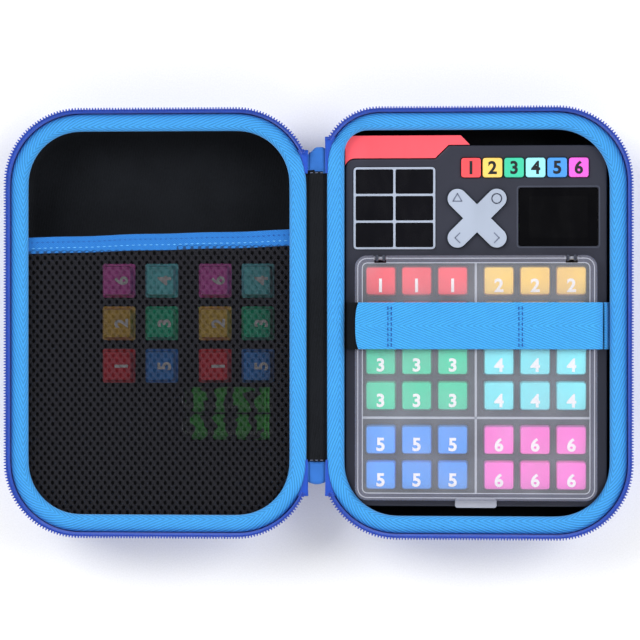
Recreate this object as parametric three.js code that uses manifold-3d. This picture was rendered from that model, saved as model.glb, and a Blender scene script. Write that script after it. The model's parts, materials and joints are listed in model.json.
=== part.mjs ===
/**
 * Zip-up carrying case, open flat, with a number-placing game console strapped into its base and a mesh pocket in its lid.
 *
 * Millimetres, +Z up. The case lies open on a surface at z = 0. The spine runs along Y at x = 0, the base is on +X and
 * the lid on -X, and the long sides of the console run along Y. The origin is the middle of the underside.
 */
import * as THREE from 'three';
import { ConvexGeometry } from 'three/addons/geometries/ConvexGeometry.js';
import { mergeVertices } from 'three/addons/utils/BufferGeometryUtils.js';
import Module from 'manifold-3d';

const wasm = await Module();
wasm.setup();

// ---------------------------------------------------------------- driving dimensions

/** Gap between pieces that meet. */
const FIT = 0.3;

/** Each half of the case, measured at its rim. */
const CASE = {
  width: 160.3, // across, from the spine side to the outer side
  length: 225.4, // along the spine
  cornerRadius: 37.5,
  buttonCornerRadius: 28, // the base's corner that the console's red button presses out
  rimHeight: 27.5, // the fold lines lie at this height
  wall: 3.2,
  wallInset: 0.6, // the shell's wall stands back this far from the rim's edge
  floor: 3,
  edgeRadius: 8, // round edge between the wall and the floor
  cornerSteps: 6,
};

const LINING = { thickness: 0.9 };

/** Woven tape that covers the rim. */
const BINDING = {
  width: 9.3,
  height: 4.6,
  crown: 1.2, // how far its top stands above the rim height
  buttonCornerInner: 12.5, // its inner radius at the pressed-out corner
};

const SPINE = {
  gap: 11, // between the two rims
  clothThickness: 1.2,
  liningThickness: 0.7,
  topEnd: 94.4,
  bottomEnd: -86.6,
  liningTopEnd: 81.3,
  liningBottomEnd: -74.3,
  liningMargin: 1.9, // from the fold line, so that the lining clears the binding when folded
};

/** Zip round three sides of each half: a tape that stands up from the rim and leans outwards, with teeth on its edge. */
const ZIP = {
  lean: 18, // degrees from upright
  tapeWidth: 3,
  tapeThickness: 0.7,
  toothThickness: 1.5,
  closedGap: 0.4, // between the two rows of teeth when the case is shut
  sliderWidth: 8.4,
  sliderLength: 13,
  sliderHeight: 3.4,
  sliderSetback: 9, // from the spine cloth's end to the slider's middle
  pullWidth: 5,
  pullLength: 15,
  pullThickness: 1.5,
};

const POCKET = {
  meshThickness: 0.8,
  tuck: 1.8, // how far the mesh runs in under the binding
  sag: 3.2,
  hemHeight: 8.9,
  hemThickness: 1.7,
  hemTopOuter: 46.3,
  hemTopSpine: 50.3,
};

const CONSOLE = {
  centreX: 85.2,
  centreY: -1.6,
  width: 140.2,
  length: 193.6,
  thickness: 19.5,
  cornerTop: 10,
  cornerBottom: 12,
  edge: 2.5, // chamfer round the deck
  baseEdge: 4, // chamfer round the underside
  wall: 2.4,
  deck: 2,
  bottomHeight: 9.5, // of the lower housing
  stepHeight: 7.1, // how far the deck's outline steps back beside the red button
  stepStart: -21.5, // where the slanted step begins and ends across the deck
  stepEnd: -14.3,
};

const BUTTON = { reach: 12.6, corner: 5.3, end: -3.1, endSlant: 4.9, height: 13.6, below: 0.4 };

const GRID = { x: -43.6, y: 63.2, width: 44, height: 44.2, line: 1.15, columns: 2, rows: 3, proud: 0.5, recess: 0.7, thickness: 3.5 };
const PAD = { x: 0.7, y: 57.7, armReach: 10.5, armWidth: 10.5, proud: 1.6, height: 5.6, clearance: 0.45 };
const SCREEN = { x: 44.1, y: 58.4, width: 42, height: 30.8, recess: 0.5, thickness: 1.9 };
const KEY = { first: -2.55, y: 84.8, size: 10.5, pitch: 11.5, proud: 1.2, height: 6.8, clearance: 0.4 };

/** Removable number tile: a flange with a tapered block on it, whose front face slopes. */
const TILE = {
  flangeWidth: 18.6,
  flangeDepth: 18,
  flangeThickness: 1.6,
  webThickness: 1,
  width: 16.4,
  depth: 16,
  topWidth: 15.2,
  topBack: 7, // from the middle to the back and the front of the top
  topFront: 7.4,
  ridge: 2.3, // where the flat strip ends and the slope begins
  height: 11.4,
  drop: 1.8, // from the ridge to the front edge
};

/** Tiles stand in six blocks of three by two. */
const TRAY = {
  blockColumns: 2,
  blockRows: 3,
  columns: 3,
  rows: 2,
  pitchX: 19.3,
  pitchY: 19,
  blockPitchX: 63.3,
  blockPitchY: 42.6,
  floor: 1.2,
  wall: 0.8,
  height: 6.6,
};

const COVER = {
  x: 0,
  y: -27.8,
  width: 129.3,
  length: 131.2,
  corner: 6.5,
  wall: 2.8,
  height: 5.7,
  plate: 1.5,
  edge: 1.5,
  rib: 1.2,
  ribDepth: 1,
  hingeInset: 1.5, // from the back edge to the pivot's axis
  hingeHeight: 2.1, // of the axis above the deck
  hingeOffset: 51, // of each pivot from the middle
  earWidth: 5.4,
  notchWidth: 6.4,
  pivotRadius: 0.9,
  holeRadius: 1.25,
  latchWidth: 22.3,
  latchReach: 4,
  latchThickness: 1.6,
};

const STRAP = { width: 25, y: -1.5, thickness: 1.3, hookThickness: 0.9, hookLength: 21 };

/** Round cell, with its nub. */
const CELL = { radius: 7.15, length: 49.2, nubRadius: 2.75, nubLength: 1.3, sides: 16 };

/** Loose tiles and cells in the lid's pocket, from the spine outwards and from the top down. */
const LOOSE = {
  columns: [-33.5, -57, -86.4, -110],
  rows: [23.1, -0.2, -23.5],
  cellEnd: -24.2,
  cellRows: [-41.9, -56.5],
};

const COLOURS = {
  shell: 0x2f5fc4,
  webbing: 0x3fa0ec,
  zip: 0x2747a8,
  lining: 0x121316,
  mesh: 0x2d2e33,
  housing: 0x2b2d37,
  black: 0x0b0b0d,
  coral: 0xff6468,
  pad: 0xacb4c6,
  cover: 0xc9ced6,
  board: 0x1f6b3d,
  cell: 0x286e2d,
  numbers: [0xe05050, 0xe6b858, 0x3fbf95, 0x74d8e6, 0x4a8fdc, 0xe36bc0],
};

// ---------------------------------------------------------------- places that follow from them

const SPINE_HALF = SPINE.gap / 2;
const RIM = CASE.rimHeight;
const BINDING_BOTTOM = RIM + BINDING.crown - BINDING.height;
const WALL_TOP = BINDING_BOTTOM - FIT;
const LINING_INSET = CASE.wallInset + CASE.wall + FIT;
const LINING_FLOOR = CASE.floor + FIT + LINING.thickness; // the surface that things in the case lie on
const REST = LINING_FLOOR + FIT;
const DECK = REST + CONSOLE.thickness;
const COVER_BOTTOM = DECK + FIT;
const COVER_TOP = COVER_BOTTOM + COVER.height;
const TRAY_BOTTOM = COVER_TOP - COVER.plate - FIT - TILE.height - FIT - TRAY.floor;
const TILE_BOTTOM = TRAY_BOTTOM + TRAY.floor + FIT;
const CORNERS = { lid: Array(4).fill(CASE.cornerRadius), base: Array(4).fill(CASE.cornerRadius) };
CORNERS.base[3] = CASE.buttonCornerRadius;

// ---------------------------------------------------------------- making solids

const CLEARING_BLOCK = 600; // side of the blocks that clear away whatever lies past a plane
const radians = THREE.MathUtils.degToRad;

/** Signed volume of an indexed geometry, positive where its faces point out. */
function signedVolume(geometry) {
  const at = geometry.attributes.position;
  const index = geometry.index;
  const corner = [new THREE.Vector3(), new THREE.Vector3(), new THREE.Vector3()];
  let sum = 0;
  for (let i = 0; i < index.count; i += 3) {
    corner.forEach((point, k) => point.fromBufferAttribute(at, index.getX(i + k)));
    sum += corner[0].dot(corner[1].clone().cross(corner[2])) / 6;
  }
  return sum;
}

/** Skin over rings that hold the same number of points. The ends are capped, unless the last ring joins the first. */
function skin(rings, joinEnds = false) {
  const count = rings[0].length;
  const positions = rings.flat().flatMap((p) => [p.x, p.y, p.z]);
  const faces = [];
  const last = joinEnds ? rings.length : rings.length - 1;
  for (let r = 0; r < last; r++) {
    const here = r * count;
    const next = ((r + 1) % rings.length) * count;
    for (let i = 0; i < count; i++) {
      const j = (i + 1) % count;
      faces.push(here + i, here + j, next + j, here + i, next + j, next + i);
    }
  }
  if (!joinEnds) {
    faces.push(...cap(rings[0], 0).reverse(), ...cap(rings.at(-1), (rings.length - 1) * count));
  }
  const geometry = new THREE.BufferGeometry();
  geometry.setAttribute('position', new THREE.Float32BufferAttribute(positions, 3));
  geometry.setIndex(faces);
  if (signedVolume(geometry) < 0) geometry.setIndex(faces.reverse());
  return geometry;
}

/** Triangles over a flat ring, wound the way that the ring runs. */
function cap(ring, first) {
  const normal = new THREE.Vector3();
  ring.forEach((p, i) => normal.add(p.clone().cross(ring[(i + 1) % ring.length])));
  const turn = new THREE.Quaternion().setFromUnitVectors(normal.normalize(), new THREE.Vector3(0, 0, 1));
  const flat = ring.map((p) => p.clone().applyQuaternion(turn)).map((p) => new THREE.Vector2(p.x, p.y));
  return THREE.ShapeUtils.triangulateShape(flat, []).flatMap(([a, b, c]) => {
    const turned = flat[b].clone().sub(flat[a]).cross(flat[c].clone().sub(flat[a])) < 0;
    return turned ? [first + a, first + c, first + b] : [first + a, first + b, first + c];
  });
}

/** A three.js geometry as a solid that can be joined and cut. */
function solid(geometry) {
  const bare = geometry.clone();
  bare.deleteAttribute('normal');
  bare.deleteAttribute('uv');
  const merged = mergeVertices(bare, 1e-4);
  return new wasm.Manifold(
    new wasm.Mesh({
      numProp: 3,
      vertProperties: new Float32Array(merged.attributes.position.array),
      triVerts: new Uint32Array(merged.index.array),
    }),
  );
}

/** A joined and cut solid as a geometry again. */
function geometryOf(manifold) {
  const { vertProperties, triVerts } = manifold.getMesh();
  const geometry = new THREE.BufferGeometry();
  geometry.setAttribute('position', new THREE.Float32BufferAttribute(vertProperties, 3));
  geometry.setIndex(Array.from(triVerts));
  return geometry;
}

const join = (...geometries) => geometryOf(geometries.map(solid).reduce((a, b) => a.add(b)));
const cut = (body, ...tools) => geometryOf(tools.map(solid).reduce((a, b) => a.subtract(b), solid(body)));

/** Box from one corner to the other. */
function box([x0, y0, z0], [x1, y1, z1]) {
  return new THREE.BoxGeometry(x1 - x0, y1 - y0, z1 - z0).translate((x0 + x1) / 2, (y0 + y1) / 2, (z0 + z1) / 2);
}

/** Box of a width and length about a middle, between two heights. */
const block = (x, y, width, length, z0, z1) =>
  box([x - width / 2, y - length / 2, z0], [x + width / 2, y + length / 2, z1]);

/** Outline of a rectangle with round corners. */
function roundedRectangle(x, y, width, length, radius) {
  const shape = new THREE.Shape();
  const [left, right, bottom, top] = [x - width / 2, x + width / 2, y - length / 2, y + length / 2];
  shape.absarc(left + radius, bottom + radius, radius, Math.PI, 1.5 * Math.PI);
  shape.absarc(right - radius, bottom + radius, radius, 1.5 * Math.PI, 2 * Math.PI);
  shape.absarc(right - radius, top - radius, radius, 0, 0.5 * Math.PI);
  shape.absarc(left + radius, top - radius, radius, 0.5 * Math.PI, Math.PI);
  return shape;
}

/** Outline raised between two heights, with its upper and lower edges chamfered by edge. */
function raised(shape, z0, z1, edge = 0, steps = 3) {
  return new THREE.ExtrudeGeometry(shape, {
    depth: z1 - z0 - 2 * edge,
    curveSegments: steps,
    bevelEnabled: edge > 0,
    bevelThickness: edge,
    bevelSize: edge,
    bevelOffset: -edge,
    bevelSegments: 1,
  }).translate(0, 0, z0 + edge);
}

/** The same, but with only its upper edge chamfered. */
function raisedPlainBelow(shape, z0, z1, edge, steps = 3) {
  const below = 2 * edge;
  return cut(raised(shape, z0 - below, z1, edge, steps), block(0, 0, CLEARING_BLOCK, CLEARING_BLOCK, z0 - 2 * below, z0));
}

/** The same, but with only its lower edge chamfered. */
function raisedPlainAbove(shape, z0, z1, edge, steps = 3) {
  const above = 2 * edge;
  return cut(raised(shape, z0, z1 + above, edge, steps), block(0, 0, CLEARING_BLOCK, CLEARING_BLOCK, z1, z1 + 2 * above));
}

/** Ribbon of a width along Y that follows points (x, z) with a thickness. */
function ribbon(points, y, width, thickness) {
  const sides = points.map(([x, z], i) => {
    const [ax, az] = points[Math.max(i - 1, 0)];
    const [bx, bz] = points[Math.min(i + 1, points.length - 1)];
    const normal = new THREE.Vector2(az - bz, bx - ax).normalize().multiplyScalar(thickness / 2);
    return [x, z, normal];
  });
  return skin(
    sides.map(([x, z, n]) =>
      [
        [1, -1],
        [1, 1],
        [-1, 1],
        [-1, -1],
      ].map(([face, edge]) => new THREE.Vector3(x + face * n.x, y + (edge * width) / 2, z + face * n.y)),
    ),
  );
}

// ---------------------------------------------------------------- the case

/** Points on an arc about (x, y) between two angles in degrees. */
function arc(x, y, radius, from, to, steps) {
  return Array.from({ length: steps + 1 }, (_, i) => {
    const angle = radians(from + ((to - from) * i) / steps);
    return [x + radius * Math.cos(angle), y + radius * Math.sin(angle)];
  });
}

/** Middles of the rim's corner arcs: bottom and top at the outer side, then bottom and top at the spine, as if on the base. */
function cornerCentres(radii) {
  const [left, right, half] = [SPINE_HALF, SPINE_HALF + CASE.width, CASE.length / 2];
  return [
    [left + radii[0], -half + radii[0]],
    [right - radii[1], -half + radii[1]],
    [right - radii[2], half - radii[2]],
    [left + radii[3], half - radii[3]],
  ];
}

/** The rim's outline set in by a distance, at a height. A corner loses shrink[k] of its radius per unit of inset. */
function rimRing(half, inset, z, shrink = [1, 1, 1, 1]) {
  const radii = CORNERS[half].map((r, k) => r - inset * shrink[k]);
  const [left, right, end] = [SPINE_HALF + inset, SPINE_HALF + CASE.width - inset, CASE.length / 2 - inset];
  const corners = [
    [left + radii[0], -end + radii[0], 180],
    [right - radii[1], -end + radii[1], 270],
    [right - radii[2], end - radii[2], 0],
    [left + radii[3], end - radii[3], 90],
  ];
  return corners
    .flatMap(([x, y, from], k) => arc(x, y, radii[k], from, from + 90, CASE.cornerSteps))
    .map(([x, y]) => new THREE.Vector3(half === 'base' ? x : -x, y, z));
}

/** Profile of a wall that stands on a floor, as insets and heights from the floor up, with a round edge. */
function wallProfile(inset, floor, top, edge, steps) {
  const foot = Array.from({ length: steps + 1 }, (_, i) => {
    const angle = radians((90 * i) / steps);
    return [inset + edge * (1 - Math.sin(angle)), floor + edge * (1 - Math.cos(angle))];
  });
  return [...foot, [inset, top]];
}

/** An open tray with the rim's outline: its outer wall goes up, and its inner wall comes down. */
function tray(half, inset, thickness, floor, floorThickness, edge, steps) {
  const outer = wallProfile(inset, floor, WALL_TOP, edge, steps);
  const inner = wallProfile(inset + thickness, floor + floorThickness, WALL_TOP, edge - thickness, steps).reverse();
  return skin([...outer, ...inner].map(([d, z]) => rimRing(half, d, z)));
}

const shell = (half) => tray(half, CASE.wallInset, CASE.wall, 0, CASE.floor, CASE.edgeRadius, 3);
const lining = (half) =>
  tray(half, LINING_INSET, LINING.thickness, CASE.floor + FIT, LINING.thickness, CASE.edgeRadius - CASE.wall - FIT, 2);

/** Woven tape over the rim: upright outside, crowned on top and turned down inside. */
function binding(half) {
  const { width, crown, buttonCornerInner } = BINDING;
  const top = RIM + crown;
  const section = [
    [0, BINDING_BOTTOM],
    [0, RIM],
    [0.17 * width, top - 0.1],
    [0.54 * width, top],
    [0.86 * width, top - 1.1],
    [width, top - 2.9],
    [width, BINDING_BOTTOM + 0.5],
    [0.92 * width, BINDING_BOTTOM],
  ];
  const shrink = [1, 1, 1, half === 'base' ? (CASE.buttonCornerRadius - buttonCornerInner) / width : 1];
  return skin(
    section.map(([d, z]) => rimRing(half, d, z, shrink)),
    true,
  );
}

/** Runs a section, given as distances out from the rim and heights, round the three sides that the zip closes. */
function alongZip(half, section) {
  const radii = CORNERS[half];
  const centres = cornerCentres(radii);
  const reach = Math.max(...section.map(([out]) => out));
  const start = (k) => 180 - THREE.MathUtils.radToDeg(Math.acos((radii[k] - FIT) / (radii[k] + reach)));
  const stretches = [
    [3, start(3), 90],
    [2, 90, 0],
    [1, 0, -90],
    [0, -90, -start(0)],
  ];
  const rings = stretches.flatMap(([k, from, to]) => {
    const [x, y] = centres[k];
    return Array.from({ length: CASE.cornerSteps + 1 }, (_, i) => {
      const angle = radians(from + ((to - from) * i) / CASE.cornerSteps);
      return section.map(([out, z]) => {
        const r = radii[k] + out;
        const px = x + r * Math.cos(angle);
        return new THREE.Vector3(half === 'base' ? px : -px, y + r * Math.sin(angle), z);
      });
    });
  });
  return skin(rings);
}

const LEAN_OUT = Math.tan(radians(ZIP.lean));
const TAPE_TOP = RIM + ZIP.tapeWidth * Math.cos(radians(ZIP.lean));
const TEETH_TOP = RIM + SPINE_HALF - ZIP.closedGap / 2;
const leanAt = (z) => FIT + LEAN_OUT * (z - RIM);

const zipTape = (half) =>
  alongZip(half, [
    [FIT, BINDING_BOTTOM],
    [FIT, RIM],
    [leanAt(TAPE_TOP), TAPE_TOP],
    [leanAt(TAPE_TOP) + ZIP.tapeThickness, TAPE_TOP],
    [FIT + ZIP.tapeThickness, RIM],
    [FIT + ZIP.tapeThickness, BINDING_BOTTOM],
  ]);

function zipTeeth(half) {
  const low = TAPE_TOP + FIT;
  const back = (ZIP.toothThickness - ZIP.tapeThickness) / 2;
  return alongZip(half, [
    [leanAt(low) - back, low],
    [leanAt(TEETH_TOP) - back, TEETH_TOP],
    [leanAt(TEETH_TOP) - back + ZIP.toothThickness, TEETH_TOP],
    [leanAt(low) - back + ZIP.toothThickness, low],
  ]);
}

/** Cloth that joins the two shells, below the fold lines, and the strip of lining above it. */
const spineCloth = () =>
  box(
    [-SPINE_HALF + FIT, SPINE.bottomEnd, RIM - FIT - SPINE.clothThickness],
    [SPINE_HALF - FIT, SPINE.topEnd, RIM - FIT],
  );
const spineLining = () =>
  box(
    [-SPINE_HALF + SPINE.liningMargin, SPINE.liningBottomEnd, RIM],
    [SPINE_HALF - SPINE.liningMargin, SPINE.liningTopEnd, RIM + SPINE.liningThickness],
  );

/** The slider hangs under the spine cloth's end, and its pull hangs from the bridge below it. */
const SLIDER_TOP = RIM - 2 * FIT - SPINE.clothThickness;
const SLIDER_BOTTOM = SLIDER_TOP - ZIP.sliderHeight;
const BRIDGE = { length: 7, height: 3, thickness: 1.2, width: 2.4 };
const PULL_EYE = { half: BRIDGE.width / 2 + FIT, above: 0.9, below: 3.9, rim: 0.8, edge: 0.35 };
const PULL_PIVOT = SLIDER_BOTTOM - BRIDGE.height + BRIDGE.thickness - 0.2;

function zipSlider() {
  const { sliderWidth: w, sliderLength: l } = ZIP;
  const plan = new THREE.Shape([
    new THREE.Vector2(-w / 2, l / 2),
    new THREE.Vector2(-w / 2, 0),
    new THREE.Vector2(-w / 3, -l / 2),
    new THREE.Vector2(w / 3, -l / 2),
    new THREE.Vector2(w / 2, 0),
    new THREE.Vector2(w / 2, l / 2),
  ]);
  const bridge = block(0, 0, BRIDGE.width, BRIDGE.length, SLIDER_BOTTOM - BRIDGE.height, SLIDER_BOTTOM + 0.5);
  const eye = block(0, 0, 2 * w, BRIDGE.length - 2 * BRIDGE.thickness, SLIDER_BOTTOM - BRIDGE.height + BRIDGE.thickness, SLIDER_BOTTOM);
  return join(raised(plan, SLIDER_BOTTOM, SLIDER_TOP, 0.6), cut(bridge, eye));
}

function zipPull() {
  const { pullWidth: w, pullLength: l, pullThickness: t } = ZIP;
  const { half, above, below, rim, edge } = PULL_EYE;
  const plan = roundedRectangle(0, above + rim - l / 2, w, l, rim);
  const eye = new THREE.Path();
  eye.moveTo(-half, -below).lineTo(half, -below).lineTo(half, above).lineTo(-half, above).lineTo(-half, -below);
  plan.holes.push(eye);
  return raised(plan, -t / 2, t / 2, edge).rotateX(Math.PI / 2);
}

// ---------------------------------------------------------------- the lid's pocket

/** Thin solid under a surface (u, v) to a point, for u and v from 0 to 1. */
function sheet(surface, columns, rows, thickness) {
  const grid = [0, -thickness].map((drop) =>
    Array.from({ length: rows + 1 }, (_, r) =>
      Array.from({ length: columns + 1 }, (_, c) => surface(c / columns, r / rows).add(new THREE.Vector3(0, 0, drop))),
    ),
  );
  const rings = grid[0].map((upper, r) => [...upper, ...grid[1][r].toReversed()]);
  const width = columns + 1;
  const positions = rings.flat().flatMap((p) => [p.x, p.y, p.z]);
  const faces = [];
  const quad = (a, b, c, d) => faces.push(a, b, c, a, c, d);
  const ring = 2 * width;
  for (let r = 0; r < rows; r++) {
    for (let i = 0; i < ring; i++) {
      const j = (i + 1) % ring;
      quad(r * ring + i, r * ring + j, (r + 1) * ring + j, (r + 1) * ring + i);
    }
  }
  const end = rows * ring;
  for (let c = 0; c < columns; c++) {
    quad(c, ring - 1 - c, ring - 2 - c, c + 1);
    quad(end + c, end + c + 1, end + ring - 2 - c, end + ring - 1 - c);
  }
  const geometry = new THREE.BufferGeometry();
  geometry.setAttribute('position', new THREE.Float32BufferAttribute(positions, 3));
  geometry.setIndex(faces);
  if (signedVolume(geometry) < 0) geometry.setIndex(faces.reverse());
  return geometry;
}

const POCKET_INSET = BINDING.width - POCKET.tuck;
const POCKET_EDGE = BINDING_BOTTOM - FIT;
const POCKET_BOTTOM = -CASE.length / 2 + POCKET_INSET;
const sagAcross = (u) => 1 - (2 * u - 1) ** 4;

/** Where the pocket's side edges lie at a height along the spine. */
function pocketSides(y) {
  const [left, right] = [SPINE_HALF + POCKET_INSET, SPINE_HALF + CASE.width - POCKET_INSET];
  const radius = CASE.cornerRadius - POCKET_INSET;
  const depth = Math.max(0, POCKET_BOTTOM + radius - y);
  const pull = radius - Math.sqrt(Math.max(radius ** 2 - depth ** 2, 0));
  return [-(right - pull), -(left + pull)];
}

/** The hem's upper edge, which slants up towards the spine. */
const hemTop = (u) => THREE.MathUtils.lerp(POCKET.hemTopOuter, POCKET.hemTopSpine, u);

function meshPocket() {
  const rowAt = (v) => 1 - Math.cos((v * Math.PI) / 2);
  return sheet(
    (u, v) => {
      const top = hemTop(u) - POCKET.hemHeight - FIT;
      const y = THREE.MathUtils.lerp(POCKET_BOTTOM + 1, top, rowAt(v));
      const [left, right] = pocketSides(y);
      const sag = POCKET.sag * sagAcross(u) * Math.sin((Math.min(2 * rowAt(v), 1) * Math.PI) / 2);
      return new THREE.Vector3(THREE.MathUtils.lerp(left, right, u), y, POCKET_EDGE - sag);
    },
    8,
    8,
    POCKET.meshThickness,
  );
}

function pocketHem() {
  return sheet(
    (u, v) => {
      const y = hemTop(u) - POCKET.hemHeight * (1 - v);
      const [left, right] = pocketSides(y);
      return new THREE.Vector3(THREE.MathUtils.lerp(left, right, u), y, POCKET_EDGE - POCKET.sag * sagAcross(u));
    },
    8,
    1,
    POCKET.hemThickness,
  );
}

// ---------------------------------------------------------------- tiles and cells

/** The tapered block of a tile on its own base, with its digit's foot towards -Y. */
function tileBlock(x, y, bottom, height) {
  const corners = [
    [TILE.width / 2, TILE.depth / 2, 0],
    [TILE.width / 2, -TILE.depth / 2, 0],
    [TILE.topWidth / 2, TILE.topBack, height],
    [TILE.topWidth / 2, TILE.ridge, height],
    [TILE.topWidth / 2, -TILE.topFront, height - TILE.drop],
  ];
  const points = corners.flatMap(([px, py, pz]) => [
    new THREE.Vector3(x + px, y + py, bottom + pz),
    new THREE.Vector3(x - px, y + py, bottom + pz),
  ]);
  return new ConvexGeometry(points);
}

/** Loose tile, standing on its flange at z = 0. */
const looseTile = () =>
  join(
    block(0, 0, TILE.flangeWidth, TILE.flangeDepth, 0, TILE.flangeThickness),
    tileBlock(0, 0, TILE.flangeThickness / 2, TILE.height - TILE.flangeThickness / 2),
  );

/** Six tiles of one number, on the flange that they share. */
function tileGroup(x, y) {
  const width = (TRAY.columns - 1) * TRAY.pitchX + TILE.flangeWidth;
  const length = (TRAY.rows - 1) * TRAY.pitchY + TILE.flangeDepth;
  const web = block(x, y, width, length, TILE_BOTTOM, TILE_BOTTOM + TILE.webThickness);
  const blocks = [];
  for (let column = 0; column < TRAY.columns; column++) {
    for (let row = 0; row < TRAY.rows; row++) {
      const px = x + (column - (TRAY.columns - 1) / 2) * TRAY.pitchX;
      const py = y + (row - (TRAY.rows - 1) / 2) * TRAY.pitchY;
      const bottom = TILE_BOTTOM + TILE.webThickness / 2;
      blocks.push(tileBlock(px, py, bottom, TILE.height - TILE.webThickness / 2));
    }
  }
  return join(web, ...blocks);
}

/** Cell lying along X with its nub towards -X, its middle line at the origin and its flat end at x = 0. */
function cell() {
  const profile = [
    [0, 0],
    [CELL.radius, 0],
    [CELL.radius, CELL.length],
    [CELL.nubRadius, CELL.length],
    [CELL.nubRadius, CELL.length + CELL.nubLength],
    [0, CELL.length + CELL.nubLength],
  ].map(([r, h]) => new THREE.Vector2(r, h));
  return geometryOf(solid(new THREE.LatheGeometry(profile, CELL.sides).rotateZ(Math.PI / 2)));
}

// ---------------------------------------------------------------- the console, about its own middle

/** The housing's outline set in by a distance. Its far left corner steps back to make room for the red button. */
function housingOutline(inset) {
  const [w, l] = [CONSOLE.width / 2 - inset, CONSOLE.length / 2 - inset];
  const bottom = CONSOLE.cornerBottom - inset;
  const top = CONSOLE.cornerTop - inset;
  const step = l - CONSOLE.stepHeight;
  const shape = new THREE.Shape();
  shape.absarc(-w + bottom, -l + bottom, bottom, Math.PI, 1.5 * Math.PI);
  shape.absarc(w - bottom, -l + bottom, bottom, 1.5 * Math.PI, 2 * Math.PI);
  shape.absarc(w - top, l - top, top, 0, 0.5 * Math.PI);
  shape.lineTo(CONSOLE.stepEnd + inset / 2, l);
  shape.lineTo(CONSOLE.stepStart + inset / 2, step);
  shape.absarc(-w + BUTTON.corner, step - BUTTON.corner, BUTTON.corner, 0.5 * Math.PI, Math.PI);
  return shape;
}

/** The red button wraps round the corner that the housing leaves free, with the same running gap all along. */
function buttonOutline() {
  const gap = FIT + 0.1;
  const [w, l] = [CONSOLE.width / 2, CONSOLE.length / 2];
  const step = l - CONSOLE.stepHeight;
  const top = step + BUTTON.reach;
  const r = BUTTON.corner;
  const tail = Math.PI - Math.acos(r / (r + gap));
  const shape = new THREE.Shape();
  shape.absarc(-w + r, step - r, r + gap, tail, 0.5 * Math.PI, true);
  shape.lineTo(CONSOLE.stepStart - gap / 2, step + gap);
  shape.lineTo(CONSOLE.stepEnd - gap / 2, l + gap);
  shape.lineTo(BUTTON.end, l + gap);
  shape.lineTo(BUTTON.end - BUTTON.endSlant, top);
  shape.absarc(-w + r, top - r, r, 0.5 * Math.PI, Math.PI);
  return shape;
}

/** Outline of the X-shaped pad: two crossed bars with round ends. */
function padBars(grow) {
  const reach = PAD.armReach * Math.SQRT2;
  const width = PAD.armWidth + 2 * grow;
  return [1, -1].map((turn) => ({ turn, shape: roundedRectangle(0, 0, 2 * reach + width, width, width / 2 - 0.01) }));
}

function padSolid(grow, z0, z1) {
  const bars = padBars(grow).map(({ turn, shape }) =>
    raised(shape, z0, z1)
      .rotateZ((turn * Math.PI) / 4)
      .translate(PAD.x, PAD.y, 0),
  );
  return join(...bars);
}

const TRAY_WIDTH = COVER.width - 2 * COVER.wall - 2 * FIT;
const TRAY_LENGTH = COVER.length - 2 * COVER.wall - 2 * FIT;
const KEYS = Array.from({ length: 6 }, (_, i) => KEY.first + i * KEY.pitch);
const CELL_BAY = { x: SCREEN.x - 3.55, y: SCREEN.y, width: CELL.length + CELL.nubLength + 4, length: 4 * CELL.radius + 3 };
const CELL_AXIS = REST + CONSOLE.deck + FIT + CELL.radius;
const BOARD = { bottom: TRAY_BOTTOM - FIT + 0.7, thickness: 1.6, left: -64, bottomEdge: 41, split: 10, right: 63, topEdge: 90, notchTop: 84 };
const HINGE_Y = COVER.y + COVER.length / 2 - COVER.hingeInset;
const HINGE_Z = DECK + COVER.hingeHeight;

/** Upper housing: a deck with walls, open below, with a window for each control and two ears for the cover's pivots. */
function upperHousing() {
  const bottom = REST + CONSOLE.bottomHeight + FIT;
  const through = [bottom - 5, DECK + 5];
  const body = raisedPlainBelow(housingOutline(0), bottom, DECK, CONSOLE.edge);
  const hollow = raised(housingOutline(CONSOLE.wall), bottom - 5, DECK - CONSOLE.deck);
  const ears = [-1, 1].map((side) => {
    const x = COVER.x + side * COVER.hingeOffset;
    const ear = block(x, HINGE_Y, COVER.earWidth, 3.4, DECK - 1, HINGE_Z + 1.7);
    const hole = new THREE.CylinderGeometry(COVER.holeRadius, COVER.holeRadius, 2 * COVER.earWidth, 12);
    return cut(ear, hole.rotateZ(Math.PI / 2).translate(x, HINGE_Y, HINGE_Z));
  });
  return cut(
    join(cut(body, hollow), ...ears),
    block(COVER.x, COVER.y, TRAY_WIDTH + 2 * FIT, TRAY_LENGTH + 2 * FIT, ...through),
    block(GRID.x, GRID.y, GRID.width + 2 * FIT, GRID.height + 2 * FIT, ...through),
    block(SCREEN.x, SCREEN.y, SCREEN.width + 2 * FIT, SCREEN.height + 2 * FIT, ...through),
    padSolid(PAD.clearance, ...through),
    ...KEYS.map((x) => block(x, KEY.y, KEY.size + 2 * KEY.clearance, KEY.size + 2 * KEY.clearance, ...through)),
  );
}

/** Lower housing: a tub with the cells' opening in its floor and posts that carry the circuit board. */
function lowerHousing() {
  const top = REST + CONSOLE.bottomHeight;
  const floor = REST + CONSOLE.deck;
  const body = raisedPlainAbove(housingOutline(0), REST, top, CONSOLE.baseEdge);
  const hollow = raised(housingOutline(CONSOLE.wall + 1.6), floor, top + 5);
  const inset = 5;
  const posts = [
    [BOARD.left + inset, BOARD.bottomEdge + inset],
    [BOARD.split - inset, BOARD.bottomEdge + inset],
    [BOARD.left + inset, BOARD.notchTop - inset],
    [BOARD.right - inset, BOARD.topEdge - inset],
  ].map(([x, y]) => block(x, y, 4, 4, floor - 1, BOARD.bottom - FIT));
  const opening = block(CELL_BAY.x, CELL_BAY.y, CELL_BAY.width, CELL_BAY.length, REST - 1, floor + 1);
  return cut(join(cut(body, hollow), ...posts), opening);
}

const batteryDoor = () =>
  block(CELL_BAY.x, CELL_BAY.y, CELL_BAY.width - 2 * FIT, CELL_BAY.length - 2 * FIT, REST, REST + CONSOLE.deck);

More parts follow.
